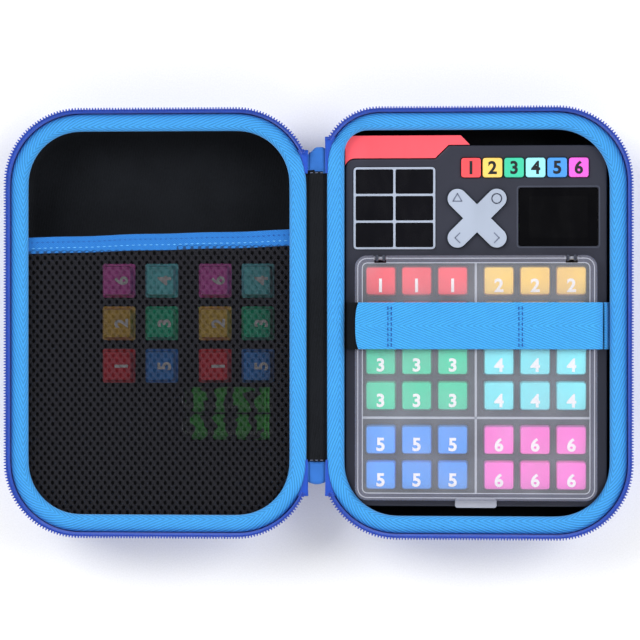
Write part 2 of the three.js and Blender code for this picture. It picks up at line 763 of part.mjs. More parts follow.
function circuitBoard() {
  const { left, right, split, bottomEdge, topEdge, notchTop } = BOARD;
  const under = SCREEN.y + SCREEN.height / 2 + 2;
  const outline = [
    [left, bottomEdge],
    [split, bottomEdge],
    [split, under],
    [right, under],
    [right, topEdge],
    [CONSOLE.stepEnd + 4, topEdge],
    [CONSOLE.stepEnd + 4, notchTop],
    [left, notchTop],
  ].map(([x, y]) => new THREE.Vector2(x, y));
  return raised(new THREE.Shape(outline), BOARD.bottom, BOARD.bottom + BOARD.thickness);
}

/** Frame of light lines with a dark recessed pane in each cell. */
function gridPanel() {
  const top = DECK + GRID.proud;
  const body = raised(roundedRectangle(GRID.x, GRID.y, GRID.width, GRID.height, 2), top - GRID.thickness, top);
  const cellWidth = (GRID.width - GRID.line * (GRID.columns + 1)) / GRID.columns;
  const cellHeight = (GRID.height - GRID.line * (GRID.rows + 1)) / GRID.rows;
  const panes = [];
  for (let column = 0; column < GRID.columns; column++) {
    for (let row = 0; row < GRID.rows; row++) {
      const x = GRID.x + (column - (GRID.columns - 1) / 2) * (cellWidth + GRID.line);
      const y = GRID.y + (row - (GRID.rows - 1) / 2) * (cellHeight + GRID.line);
      panes.push(block(x, y, cellWidth, cellHeight, top - GRID.recess - GRID.proud, top + 1));
    }
  }
  return cut(body, ...panes);
}

const redButton = () => raised(buttonOutline(), DECK - BUTTON.below - BUTTON.height, DECK - BUTTON.below, 0, 5);

const numberKey = (x) =>
  raisedPlainBelow(
    roundedRectangle(x, KEY.y, KEY.size, KEY.size, 1.4),
    DECK + KEY.proud - KEY.height,
    DECK + KEY.proud,
    0.4,
    2,
  );

const xPad = () => padSolid(0, DECK + PAD.proud - PAD.height, DECK + PAD.proud);

const screenLens = () =>
  block(SCREEN.x, SCREEN.y, SCREEN.width, SCREEN.height, DECK - SCREEN.recess - SCREEN.thickness, DECK - SCREEN.recess);

function tileTray() {
  const top = TRAY_BOTTOM + TRAY.height;
  const inner = [TRAY_WIDTH - 2 * TRAY.wall, TRAY_LENGTH - 2 * TRAY.wall];
  return cut(
    block(COVER.x, COVER.y, TRAY_WIDTH, TRAY_LENGTH, TRAY_BOTTOM, top),
    block(COVER.x, COVER.y, ...inner, TRAY_BOTTOM + TRAY.floor, top + 1),
  );
}

/** Clear cover: a plate with walls down to the deck, ribs inside, a pivot in each of two notches and a lip to lift it by. */
function tileCover() {
  const { x, y, width, length, wall, corner } = COVER;
  const body = raisedPlainBelow(roundedRectangle(x, y, width, length, corner), COVER_BOTTOM, COVER_TOP, COVER.edge);
  const hollow = block(x, y, width - 2 * wall, length - 2 * wall, COVER_BOTTOM - 1, COVER_TOP - COVER.plate);
  const back = y + length / 2;
  const relief = box([x - width, back - wall + FIT, DECK - 1], [x + width, back + 1, HINGE_Z - 1]);
  const notches = [-1, 1].map((side) =>
    box(
      [x + side * COVER.hingeOffset - COVER.notchWidth / 2, HINGE_Y - 2.6, DECK - 1],
      [x + side * COVER.hingeOffset + COVER.notchWidth / 2, back + 1, COVER_TOP + 1],
    ),
  );
  const pivots = [-1, 1].map((side) =>
    new THREE.CylinderGeometry(COVER.pivotRadius, COVER.pivotRadius, COVER.notchWidth + 1, 10)
      .rotateZ(Math.PI / 2)
      .translate(x + side * COVER.hingeOffset, HINGE_Y, HINGE_Z),
  );
  const front = y - length / 2;
  const latch = box(
    [x - COVER.latchWidth / 2, front - COVER.latchReach, COVER_BOTTOM],
    [x + COVER.latchWidth / 2, front + 1, COVER_BOTTOM + COVER.latchThickness],
  );
  return join(cut(body, hollow, relief, ...notches), ...pivots, latch);
}

// ---------------------------------------------------------------- straps

/** Where the strap leaves the gap beside the console and can be lifted from. */
const STRAP_HINGE = [CONSOLE.centreX + CONSOLE.width / 2 - 2.4, DECK + 3.3];
const WALL_RIGHT = SPINE_HALF + CASE.width - LINING_INSET - LINING.thickness;
const WALL_LEFT = SPINE_HALF + LINING_INSET + LINING.thickness;
const CONSOLE_RIGHT = CONSOLE.centreX + CONSOLE.width / 2;
const CONSOLE_LEFT = CONSOLE.centreX - CONSOLE.width / 2;

/** The sewn-down end of the webbing, in the gap beside the console. */
function strapRoot() {
  const x = WALL_RIGHT - FIT - STRAP.thickness / 2;
  return ribbon(
    [
      [x, REST + 3.5],
      [x, DECK - 5.6],
      [x - 1.8, DECK - 2.9],
      [CONSOLE_RIGHT + 0.5, DECK - 0.9],
      STRAP_HINGE,
    ],
    STRAP.y,
    STRAP.width,
    STRAP.thickness,
  );
}

/** The free part of the webbing, from its fold across the cover to its round end. */
function holdStrap() {
  const [x, z] = STRAP_HINGE;
  const flat = COVER_TOP + 0.55 + STRAP.thickness / 2;
  const over = COVER_TOP + 2 * FIT + 0.2 + STRAP.hookThickness + STRAP.thickness / 2;
  const coverLeft = CONSOLE.centreX + COVER.x - COVER.width / 2;
  const coverRight = CONSOLE.centreX + COVER.x + COVER.width / 2;
  return ribbon(
    [
      [x - 0.25, z + 0.3],
      [coverRight + 0.2, flat - 0.2],
      [coverRight - 3.3, flat + 0.15],
      [coverRight - 8, flat],
      [coverLeft + STRAP.hookLength + 14, flat],
      [coverLeft + STRAP.hookLength + 4, over],
      [coverLeft + 0.4, over],
    ],
    STRAP.y,
    STRAP.width,
    STRAP.thickness,
  );
}

/** The black strap that the webbing fastens to, from the wall at the spine side to the top of the cover. */
function hookStrap() {
  const x = WALL_LEFT + FIT + STRAP.hookThickness / 2;
  const coverLeft = CONSOLE.centreX + COVER.x - COVER.width / 2;
  const flat = COVER_TOP + FIT + 0.2 + STRAP.hookThickness / 2;
  return ribbon(
    [
      [x, REST + 3.5],
      [x, DECK - 5.4],
      [x + 1.6, DECK - 2.7],
      [CONSOLE_LEFT + 0.3, DECK - 0.5],
      [coverLeft - 2.5, DECK + 4.4],
      [coverLeft, COVER_TOP + 0.75],
      [coverLeft + 3, flat],
      [coverLeft + STRAP.hookLength, flat],
    ],
    STRAP.y,
    STRAP.width,
    STRAP.hookThickness,
  );
}

// ---------------------------------------------------------------- the assembly

/** A sub-part with its own name, shape and finish. */
function part(name, geometry, color, roughness = 0.8, metalness = 0) {
  const mesh = new THREE.Mesh(geometry, new THREE.MeshStandardMaterial({ color, roughness, metalness }));
  mesh.name = name;
  return mesh;
}

function placed(object, x, y, z, turn = 0) {
  object.position.set(x, y, z);
  object.rotation.z = turn;
  return object;
}

function caseHalf(half) {
  const group = new THREE.Group();
  group.add(
    part(`${half}_shell`, shell(half), COLOURS.shell),
    part(`${half}_lining`, lining(half), COLOURS.lining, 0.95),
    part(`${half}_binding`, binding(half), COLOURS.webbing, 0.9),
    part(`${half}_zip_tape`, zipTape(half), COLOURS.zip, 0.9),
    part(`${half}_zip_teeth`, zipTeeth(half), COLOURS.zip, 0.5),
  );
  return group;
}

function spine() {
  const group = new THREE.Group();
  group.add(
    part('spine_cloth', spineCloth(), COLOURS.shell),
    part('spine_lining', spineLining(), COLOURS.lining, 0.95),
  );
  const ends = [
    ['top', SPINE.topEnd - ZIP.sliderSetback, 0],
    ['bottom', SPINE.bottomEnd + ZIP.sliderSetback, Math.PI],
  ];
  for (const [end, y, turn] of ends) {
    group.add(
      placed(part(`zip_slider_${end}`, zipSlider(), COLOURS.zip, 0.4, 0.3), 0, y, 0, turn),
      placed(part(`zip_pull_${end}`, zipPull(), COLOURS.zip, 0.4, 0.3), 0, y, PULL_PIVOT),
    );
  }
  return group;
}

/** The mesh pocket, and the spare tiles and cells that lie in it. */
function pocket() {
  const group = new THREE.Group();
  group.add(
    part('mesh_pocket', meshPocket(), COLOURS.mesh, 0.95),
    part('pocket_hem', pocketHem(), COLOURS.webbing, 0.9),
  );
  const numbers = [4, 6, 4, 6, 3, 2, 3, 2, 5, 1, 5, 1];
  numbers.forEach((number, i) => {
    const [column, row] = [i % LOOSE.columns.length, Math.floor(i / LOOSE.columns.length)];
    const name = `pocket_tile_${row + 1}_${column + 1}`;
    const tile = part(name, looseTile(), COLOURS.numbers[number - 1], 0.35);
    group.add(placed(tile, LOOSE.columns[column], LOOSE.rows[row], REST, Math.PI / 2));
  });
  LOOSE.cellRows.forEach((y, i) => {
    group.add(placed(part(`spare_cell_${i + 1}`, cell(), COLOURS.cell, 0.4), LOOSE.cellEnd, y, REST + CELL.radius));
  });
  return group;
}

/** Six blocks of tiles, numbered from the far left to the near right. */
function tiles() {
  const group = new THREE.Group();
  for (let i = 0; i < TRAY.blockColumns * TRAY.blockRows; i++) {
    const [column, row] = [i % TRAY.blockColumns, Math.floor(i / TRAY.blockColumns)];
    const x = COVER.x + (column - (TRAY.blockColumns - 1) / 2) * TRAY.blockPitchX;
    const y = COVER.y - (row - (TRAY.blockRows - 1) / 2) * TRAY.blockPitchY;
    group.add(part(`tray_tiles_${i + 1}`, tileGroup(x, y), COLOURS.numbers[i], 0.35));
  }
  return group;
}

function gameConsole() {
  const group = new THREE.Group();
  group.add(
    part('console_bottom', lowerHousing(), COLOURS.housing, 0.6),
    part('console_top', upperHousing(), COLOURS.housing, 0.6),
    part('battery_door', batteryDoor(), COLOURS.housing, 0.6),
    part('circuit_board', circuitBoard(), COLOURS.board, 0.6),
    part('red_button', redButton(), COLOURS.coral, 0.4),
    part('grid_panel', gridPanel(), COLOURS.pad, 0.5),
    part('x_pad', xPad(), COLOURS.pad, 0.5),
    part('screen_lens', screenLens(), COLOURS.black, 0.15),
    part('tile_tray', tileTray(), COLOURS.housing, 0.7),
    part('tile_cover', tileCover(), COLOURS.cover, 0.3),
    tiles(),
  );
  KEYS.forEach((x, i) => group.add(part(`number_key_${i + 1}`, numberKey(x), COLOURS.numbers[i], 0.4)));
  const cellEnd = CELL_BAY.x + (CELL.length + CELL.nubLength) / 2;
  [1, -1].forEach((side, i) => {
    const y = CELL_BAY.y + side * (CELL.radius + FIT);
    group.add(placed(part(`console_cell_${i + 1}`, cell(), COLOURS.cell, 0.4), cellEnd, y, CELL_AXIS));
  });
  return placed(group, CONSOLE.centreX, CONSOLE.centreY, 0);
}

function straps() {
  const group = new THREE.Group();
  group.add(
    part('strap_root', strapRoot(), COLOURS.webbing, 0.9),
    part('hold_strap', holdStrap(), COLOURS.webbing, 0.9),
    part('hook_strap', hookStrap(), COLOURS.black, 0.95),
  );
  return group;
}

const group = new THREE.Group();
group.add(caseHalf('base'), caseHalf('lid'), spine(), pocket(), gameConsole(), straps());

export default group;
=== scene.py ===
"""Zip-up carrying case, open flat, with a number-placing console in its base and a mesh pocket in its lid.

Sizes are millimetres until a piece is finished, and its mesh is then scaled to metres. The case lies open
at z = 0, the spine runs along Y at x = 0, the base is on +X and the lid on -X.
"""

from __future__ import annotations

import json
import logging
import math
import random
from collections.abc import Callable, Iterable, Sequence
from dataclasses import dataclass, field
from enum import Enum
from functools import lru_cache, partial

import bmesh
import bpy
from bmesh.types import BMEdge, BMFace, BMesh, BMVert
from mathutils import Matrix, Vector
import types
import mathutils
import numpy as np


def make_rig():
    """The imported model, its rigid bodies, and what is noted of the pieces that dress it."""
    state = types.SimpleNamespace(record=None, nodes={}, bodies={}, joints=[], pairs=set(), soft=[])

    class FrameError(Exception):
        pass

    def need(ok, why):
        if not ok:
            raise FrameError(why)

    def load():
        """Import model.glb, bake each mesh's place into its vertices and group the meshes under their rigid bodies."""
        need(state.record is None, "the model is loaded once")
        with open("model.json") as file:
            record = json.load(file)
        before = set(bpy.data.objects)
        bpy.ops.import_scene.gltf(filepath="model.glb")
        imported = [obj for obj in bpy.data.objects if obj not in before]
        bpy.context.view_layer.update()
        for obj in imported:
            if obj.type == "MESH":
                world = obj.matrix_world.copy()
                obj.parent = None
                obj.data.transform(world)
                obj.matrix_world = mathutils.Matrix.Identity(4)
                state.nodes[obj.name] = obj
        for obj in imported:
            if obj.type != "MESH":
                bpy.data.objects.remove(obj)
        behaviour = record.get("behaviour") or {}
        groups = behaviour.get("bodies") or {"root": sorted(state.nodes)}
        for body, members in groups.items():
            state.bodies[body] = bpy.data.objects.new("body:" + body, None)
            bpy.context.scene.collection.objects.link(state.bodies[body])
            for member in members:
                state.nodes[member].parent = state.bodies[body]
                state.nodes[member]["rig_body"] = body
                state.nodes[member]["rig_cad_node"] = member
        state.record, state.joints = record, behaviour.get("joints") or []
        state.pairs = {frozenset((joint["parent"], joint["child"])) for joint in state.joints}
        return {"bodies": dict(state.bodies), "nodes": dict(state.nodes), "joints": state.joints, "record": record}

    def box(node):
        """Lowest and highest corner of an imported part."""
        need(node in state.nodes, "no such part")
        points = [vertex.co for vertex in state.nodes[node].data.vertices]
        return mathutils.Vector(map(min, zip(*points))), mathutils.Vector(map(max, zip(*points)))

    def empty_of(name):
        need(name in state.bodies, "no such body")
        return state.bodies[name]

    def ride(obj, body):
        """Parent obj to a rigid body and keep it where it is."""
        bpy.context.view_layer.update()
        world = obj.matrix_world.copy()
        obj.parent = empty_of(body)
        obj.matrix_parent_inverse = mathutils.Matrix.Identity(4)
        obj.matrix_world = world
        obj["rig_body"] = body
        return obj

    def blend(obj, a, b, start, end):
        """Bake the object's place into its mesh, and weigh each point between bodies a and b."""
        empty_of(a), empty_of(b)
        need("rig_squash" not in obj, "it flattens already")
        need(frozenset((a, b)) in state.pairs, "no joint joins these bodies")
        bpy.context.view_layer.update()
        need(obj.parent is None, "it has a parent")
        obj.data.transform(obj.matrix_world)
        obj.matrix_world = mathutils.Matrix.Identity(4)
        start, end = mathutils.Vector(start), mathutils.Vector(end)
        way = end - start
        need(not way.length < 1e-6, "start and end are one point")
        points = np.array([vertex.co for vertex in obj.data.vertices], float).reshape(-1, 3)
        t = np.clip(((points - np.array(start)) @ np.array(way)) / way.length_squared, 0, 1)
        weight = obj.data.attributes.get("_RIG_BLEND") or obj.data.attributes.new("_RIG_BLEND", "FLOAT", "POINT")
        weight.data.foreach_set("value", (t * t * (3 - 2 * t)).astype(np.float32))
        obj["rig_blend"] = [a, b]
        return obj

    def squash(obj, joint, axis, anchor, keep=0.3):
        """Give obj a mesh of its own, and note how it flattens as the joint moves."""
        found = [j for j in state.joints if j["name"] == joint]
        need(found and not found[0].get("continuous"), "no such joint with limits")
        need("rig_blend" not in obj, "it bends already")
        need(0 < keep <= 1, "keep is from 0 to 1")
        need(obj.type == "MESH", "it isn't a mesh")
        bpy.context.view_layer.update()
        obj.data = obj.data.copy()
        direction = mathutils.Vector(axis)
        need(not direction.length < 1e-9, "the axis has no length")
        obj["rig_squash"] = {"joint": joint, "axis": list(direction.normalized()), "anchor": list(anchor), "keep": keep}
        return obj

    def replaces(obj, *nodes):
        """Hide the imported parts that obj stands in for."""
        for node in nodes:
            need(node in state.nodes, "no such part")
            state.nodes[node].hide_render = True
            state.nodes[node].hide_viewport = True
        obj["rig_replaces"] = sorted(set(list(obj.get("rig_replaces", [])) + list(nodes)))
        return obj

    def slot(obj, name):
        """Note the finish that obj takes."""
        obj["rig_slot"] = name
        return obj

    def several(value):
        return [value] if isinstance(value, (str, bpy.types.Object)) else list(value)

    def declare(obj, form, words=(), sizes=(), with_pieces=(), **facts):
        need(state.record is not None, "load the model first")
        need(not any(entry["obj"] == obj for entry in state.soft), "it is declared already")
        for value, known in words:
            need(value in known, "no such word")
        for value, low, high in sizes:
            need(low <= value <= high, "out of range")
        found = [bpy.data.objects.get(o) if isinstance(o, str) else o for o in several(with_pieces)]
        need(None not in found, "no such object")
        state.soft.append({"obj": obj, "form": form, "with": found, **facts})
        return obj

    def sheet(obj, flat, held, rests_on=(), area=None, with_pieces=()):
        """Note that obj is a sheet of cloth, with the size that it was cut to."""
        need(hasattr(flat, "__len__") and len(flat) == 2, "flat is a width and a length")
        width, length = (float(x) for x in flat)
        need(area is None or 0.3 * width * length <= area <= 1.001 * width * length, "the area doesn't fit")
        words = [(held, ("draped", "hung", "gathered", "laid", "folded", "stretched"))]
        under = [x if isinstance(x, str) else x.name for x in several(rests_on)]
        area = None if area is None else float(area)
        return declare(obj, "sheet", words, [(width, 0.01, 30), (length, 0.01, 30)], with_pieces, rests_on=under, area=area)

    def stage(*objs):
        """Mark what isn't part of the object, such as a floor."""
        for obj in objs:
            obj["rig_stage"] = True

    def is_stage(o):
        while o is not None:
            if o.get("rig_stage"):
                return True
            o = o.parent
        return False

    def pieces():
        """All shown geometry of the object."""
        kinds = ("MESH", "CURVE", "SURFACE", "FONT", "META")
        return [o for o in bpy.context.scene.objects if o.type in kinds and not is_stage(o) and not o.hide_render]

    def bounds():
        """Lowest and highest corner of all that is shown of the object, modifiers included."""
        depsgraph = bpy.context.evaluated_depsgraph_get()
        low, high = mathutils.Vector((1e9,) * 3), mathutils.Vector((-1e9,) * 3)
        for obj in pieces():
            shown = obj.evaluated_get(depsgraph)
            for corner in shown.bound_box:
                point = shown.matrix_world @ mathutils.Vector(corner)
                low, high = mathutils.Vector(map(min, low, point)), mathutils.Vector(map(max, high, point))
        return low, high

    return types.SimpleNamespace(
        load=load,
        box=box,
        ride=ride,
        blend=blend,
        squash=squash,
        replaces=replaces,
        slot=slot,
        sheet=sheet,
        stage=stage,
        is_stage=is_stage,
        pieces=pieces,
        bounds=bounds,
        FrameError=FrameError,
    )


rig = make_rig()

LOG = logging.getLogger("zip_case")
MM = 0.001
RUN_LAYER = "weave"
HARD_SLOTS = {"housing", "coral_plastic", "light_plastic", "screen", "clear_cover", "board", "zip_slider"}


def linear(red: int, green: int, blue: int) -> tuple[float, float, float, float]:
    """Linear colour, opaque, of a display colour given in steps from 0 to 255."""
    return (
        *(((c / 255 + 0.055) / 1.055) ** 2.4 if c > 10 else c / 255 / 12.92 for c in (red, green, blue)),
        1.0,
    )


def shaded(colour: Sequence[float], factor: float) -> tuple[float, float, float, float]:
    """The same colour, lighter or darker by a factor."""
    return (*(min(c * factor, 1.0) for c in colour[:3]), 1.0)


class Half(Enum):
    """The two halves of the case, with the sign of the side that each is on."""

    BASE = 1
    LID = -1


class Number(Enum):
    """The six numbers, each with the colours of its tiles and of its key."""

    ONE = (1, linear(250, 70, 84), linear(255, 84, 90))
    TWO = (2, linear(255, 206, 92), linear(255, 208, 108))
    THREE = (3, linear(40, 214, 166), linear(70, 204, 164))
    FOUR = (4, linear(124, 236, 246), linear(156, 232, 244))
    FIVE = (5, linear(72, 156, 248), linear(80, 156, 234))
    SIX = (6, linear(255, 110, 214), linear(242, 104, 216))

    @property
    def digit(self) -> str:
        """The number as text."""
        return str(self.value[0])

    @property
    def shade(self) -> str:
        """Name of the number's colour."""
        return ("red", "gold", "green", "cyan", "blue", "pink")[self.value[0] - 1]

    @property
    def tile_colour(self) -> tuple[float, float, float, float]:
        """Colour of the number's tiles."""
        return self.value[1]

    @property
    def key_colour(self) -> tuple[float, float, float, float]:
        """Colour of the number's key."""
        return self.value[2]


# ---------------------------------------------------------------- finishes


class Recipe:
    """Node tree of one material that ends in a Principled shader."""

    def __init__(self, name: str, colour: Sequence[float], roughness: float) -> None:
        """Starts a material of one colour and roughness."""
        self.material = bpy.data.materials.new(name)
        self.material.use_nodes = True
        self.tree = self.material.node_tree
        self.shader = self.tree.nodes["Principled BSDF"]
        self.shader.inputs["Base Color"].default_value = colour
        self.shader.inputs["Roughness"].default_value = roughness
        self.material.diffuse_color = tuple(colour)

    def node(self, kind: str, **settings: object) -> bpy.types.Node:
        """Adds a node and sets its properties."""
        made = self.tree.nodes.new(kind)
        for key, value in settings.items():
            setattr(made, key, value)
        return made

    def feed(self, socket: bpy.types.NodeSocket, value: object) -> None:
        """Links a socket to an input, or sets the input to a plain value."""
        if isinstance(value, bpy.types.NodeSocket):
            self.tree.links.new(value, socket)
        else:
            socket.default_value = value

    def math(self, operation: str, *values: object) -> bpy.types.NodeSocket:
        """Result of a Math node on up to three values."""
        node = self.node("ShaderNodeMath", operation=operation)
        for socket, value in zip(node.inputs, values):
            self.feed(socket, value)
        return node.outputs[0]

    def place(self, weave: bool = False, stretch: Sequence[float] = (1, 1, 1)) -> bpy.types.NodeSocket:
        """Place on the piece in millimetres, in its frame or along its own weave.

        Args:
            weave: whether to read the run of the cloth instead of the frame.
            stretch: factors along the three axes.

        Returns:
            The vector's socket.
        """
        unit = 1.0 if weave else 1 / MM
        if weave:
            source = self.node("ShaderNodeUVMap", uv_map=RUN_LAYER).outputs["UV"]
        else:
            source = self.node("ShaderNodeTexCoord").outputs["Object"]
        mapping = self.node("ShaderNodeMapping", vector_type="POINT")
        mapping.inputs["Scale"].default_value = [unit * s for s in stretch]
        self.feed(mapping.inputs["Vector"], source)
        return mapping.outputs["Vector"]

    def split(self, vector: bpy.types.NodeSocket) -> Sequence[bpy.types.NodeSocket]:
        """The three parts of a vector."""
        node = self.node("ShaderNodeSeparateXYZ")
        self.feed(node.inputs[0], vector)
        return node.outputs

    def noise(self, place: bpy.types.NodeSocket, size: float, detail: float = 3.0) -> bpy.types.NodeSocket:
        """Noise from 0 to 1 with features of a size in millimetres."""
        node = self.node("ShaderNodeTexNoise")
        node.inputs["Scale"].default_value = 1 / size
        node.inputs["Detail"].default_value = detail
        self.feed(node.inputs["Vector"], place)
        return node.outputs["Fac"]

    def ease(
        self, value: object, low: float, high: float, start: float = 0.0, end: float = 1.0
    ) -> bpy.types.NodeSocket:
        """Maps low to start and high to end, smoothly and without going past them."""
        node = self.node("ShaderNodeMapRange", interpolation_type="SMOOTHSTEP")
        for socket, number in zip(node.inputs[1:5], (low, high, start, end)):
            socket.default_value = number
        self.feed(node.inputs[0], value)
        return node.outputs[0]

    def wave(self, value: object, pitch: float) -> bpy.types.NodeSocket:
        """Sine wave from 0 to 1 with a pitch in millimetres."""
        turn = self.math("MULTIPLY", value, 2 * math.pi / pitch)
        return self.math("MULTIPLY_ADD", self.math("SINE", turn), 0.5, 0.5)

    def mix(self, factor: object, first: object, second: object) -> bpy.types.NodeSocket:
        """Colour between two colours."""
        node = self.node("ShaderNodeMix", data_type="RGBA")
        self.feed(node.inputs[0], factor)
        self.feed(node.inputs[6], first)
        self.feed(node.inputs[7], second)
        return node.outputs[2]

    def paint(self, colour: bpy.types.NodeSocket) -> None:
        """Sets the base colour from nodes."""
        self.feed(self.shader.inputs["Base Color"], colour)

    def roughen(self, value: object, low: float, high: float) -> None:
        """Varies the roughness between two values."""
        self.feed(self.shader.inputs["Roughness"], self.ease(value, 0.25, 0.75, low, high))

    def bump(self, height: object, depth: float, strength: float = 1.0) -> None:
        """Raises the surface by up to a depth in millimetres."""
        node = self.node("ShaderNodeBump")
        node.inputs["Distance"].default_value = depth * MM
        node.inputs["Strength"].default_value = strength
        self.feed(node.inputs["Height"], height)
        self.feed(self.shader.inputs["Normal"], node.outputs[0])

    def gloss(self, **levels: float) -> None:
        """Sets plain values on the shader, by input name with underscores for spaces."""
        for key, value in levels.items():
            self.shader.inputs[key.replace("_", " ")].default_value = value

    def see_through(self, opacity: object) -> None:
        """Lets light straight through where the surface isn't opaque."""
        clear = self.node("ShaderNodeBsdfTransparent")
        blend = self.node("ShaderNodeMixShader")
        self.feed(blend.inputs[0], opacity)
        self.feed(blend.inputs[1], clear.outputs[0])
        self.feed(blend.inputs[2], self.shader.outputs[0])
        output = next(n for n in self.tree.nodes if n.type == "OUTPUT_MATERIAL")
        self.feed(output.inputs[0], blend.outputs[0])


@dataclass(frozen=True)
class Finish:
    """A surface that makes its own material, once for each set of values."""

    name: str
    colour: tuple[float, float, float, float]
    roughness: float = 0.6

    def material(self) -> bpy.types.Material:
        """The material, made the first time that it is asked for."""
        return _material_of(self)

    def mix_recipe(self, recipe: Recipe) -> None:
        """Adds the finish's own nodes to a recipe."""
        raise NotImplementedError


@lru_cache(maxsize=None)
def _material_of(finish: Finish) -> bpy.types.Material:
    """Material of a finish."""
    recipe = Recipe(finish.name, finish.colour, finish.roughness)
    finish.mix_recipe(recipe)
    return recipe.material


@dataclass(frozen=True)
class Webbing(Finish):
    """Woven tape whose slanting ribs meet in a row of arrows along its middle."""

    pitch: float = 1.5
    slope: float = 0.4
    middle: float = 0.0
    depth: float = 0.22

    def mix_recipe(self, recipe: Recipe) -> None:
        """Ribs with painted shade in their grooves, threads that cross them with a painted highlight, and a slow change
        of shade.
        """
        place = recipe.place(weave=True)
        along, across, _ = recipe.split(place)
        wander = recipe.math("MULTIPLY_ADD", recipe.noise(place, 6.0), 0.5, along)
        arm = recipe.math("ABSOLUTE", recipe.math("SUBTRACT", across, self.middle))
        rib = recipe.wave(recipe.math("MULTIPLY_ADD", wander, self.slope, arm), self.pitch)
        thread = recipe.wave(wander, 0.62)
        height = recipe.math("MULTIPLY_ADD", thread, 0.3, rib)
        slow = recipe.ease(recipe.noise(place, 14.0, 2.0), 0.3, 0.7)
        # painted shade: the grooves between the ribs are darkened to 0.6 of the colour
        groove = recipe.mix(recipe.ease(rib, 0.0, 0.9), shaded(self.colour, 0.60), self.colour)
        # painted highlight: the threads that cross the ribs are lightened
        lit = recipe.mix(recipe.math("MULTIPLY", thread, 0.35), groove, shaded(self.colour, 1.4))
        recipe.paint(recipe.mix(recipe.math("MULTIPLY", slow, 0.22), lit, shaded(self.colour, 0.78)))
        recipe.bump(height, self.depth)
        recipe.gloss(Sheen_Weight=0.25, Sheen_Roughness=0.4, Specular_IOR_Level=0.25)


@dataclass(frozen=True)
class PlainCloth(Finish):
    """Close plain weave."""

    thread: float = 0.55
    depth: float = 0.08

    def mix_recipe(self, recipe: Recipe) -> None:
        """Warp and weft that pass over each other, with painted shade where they dip under each other."""
        place = recipe.place()
        x, y, z = recipe.split(place)
        warp = recipe.wave(recipe.math("ADD", x, z), self.thread)
        weft = recipe.wave(recipe.math("SUBTRACT", y, z), self.thread)
        height = recipe.math("MAXIMUM", warp, weft)
        slow = recipe.ease(recipe.noise(place, 9.0), 0.3, 0.7)
        # painted shade: darker where the weave is low, between the threads
        shade = recipe.mix(recipe.ease(height, 0.3, 1.0), shaded(self.colour, 0.62), self.colour)
        recipe.paint(recipe.mix(recipe.math("MULTIPLY", slow, 0.25), shade, shaded(self.colour, 1.25)))
        recipe.bump(height, self.depth)
        recipe.gloss(Sheen_Weight=0.2, Specular_IOR_Level=0.2)


@dataclass(frozen=True)
class BrushedKnit(Finish):
    """Short raised pile, combed one way."""

    comb: float = 5.0

    def mix_recipe(self, recipe: Recipe) -> None:
        """Fine pile over faint ribs of knitting, with painted shade and highlight by the pile's height."""
        place = recipe.place(stretch=(1.0, 1 / self.comb, 1.0))
        even = recipe.place()
        x, y, _ = recipe.split(even)
        pile = recipe.noise(place, 0.35, 4.0)
        rib = recipe.wave(recipe.math("ADD", x, recipe.math("MULTIPLY", y, 0.1)), 0.9)
        height = recipe.math("MULTIPLY_ADD", rib, 0.35, pile)
        patches = recipe.ease(recipe.noise(even, 18.0), 0.35, 0.7)
        # painted shade in the low pile and painted highlight on its raised tips
        shade = recipe.mix(recipe.ease(height, 0.3, 1.0), shaded(self.colour, 0.55), shaded(self.colour, 1.5))
        recipe.paint(recipe.mix(recipe.math("MULTIPLY", patches, 0.35), shade, shaded(self.colour, 1.7)))
        recipe.bump(height, 0.18)
        recipe.gloss(Specular_IOR_Level=0.12)


@dataclass(frozen=True)
class Net(Finish):
    """Sheer knitted net: its threads, or the film of shadow in its holes."""

    opacity: float = 0.5

    def mix_recipe(self, recipe: Recipe) -> None:
        """Twisted filaments, with painted shade and highlight along their twist, that let some light through."""
        place = recipe.place(weave=True)
        along, across, _ = recipe.split(place)
        strand = recipe.wave(recipe.math("ADD", along, across), 0.5)
        worn = recipe.noise(place, 3.0)
        # painted shade and highlight along the strands' twist
        shade = recipe.mix(strand, shaded(self.colour, 0.8), shaded(self.colour, 1.25))
        recipe.paint(recipe.mix(recipe.math("MULTIPLY", worn, 0.4), shade, self.colour))
        recipe.bump(strand, 0.1)
        recipe.gloss(Specular_IOR_Level=0.1)
        recipe.see_through(recipe.ease(worn, 0.1, 0.9, self.opacity - 0.05, self.opacity + 0.05))


@dataclass(frozen=True)
class ZipCoil(Finish):
    """Nylon of the teeth."""

    def mix_recipe(self, recipe: Recipe) -> None:
        """Small changes of shade from tooth to tooth."""
        place = recipe.place()
        tone = recipe.noise(place, 1.2)
        recipe.paint(recipe.mix(tone, shaded(self.colour, 0.7), shaded(self.colour, 1.35)))
        recipe.roughen(tone, self.roughness - 0.08, self.roughness + 0.1)
        recipe.bump(recipe.noise(place, 0.3), 0.04)


@dataclass(frozen=True)
class MouldedPlastic(Finish):
    """Plastic with a fine spark-eroded grain and the faint streaks of moulding."""

    grain: float = 0.3
    depth: float = 0.02
    specular: float = 0.35

    def mix_recipe(self, recipe: Recipe) -> None:
        """Grain in the height, and slow streaks in colour and gloss."""
        place = recipe.place()
        grain = recipe.noise(place, self.grain, 4.0)
        streaks = recipe.noise(recipe.place(stretch=(1.0, 0.3, 1.0)), 22.0, 2.0)
        speck = recipe.ease(recipe.noise(place, 1.1, 5.0), 0.62, 0.75)
        base = recipe.mix(
            recipe.ease(streaks, 0.3, 0.7), shaded(self.colour, 0.93), shaded(self.colour, 1.06)
        )
        recipe.paint(recipe.mix(recipe.math("MULTIPLY", speck, 0.10), base, shaded(self.colour, 1.5)))
        recipe.roughen(grain, self.roughness - 0.06, self.roughness + 0.08)
        recipe.bump(grain, self.depth)
        recipe.gloss(Specular_IOR_Level=self.specular)


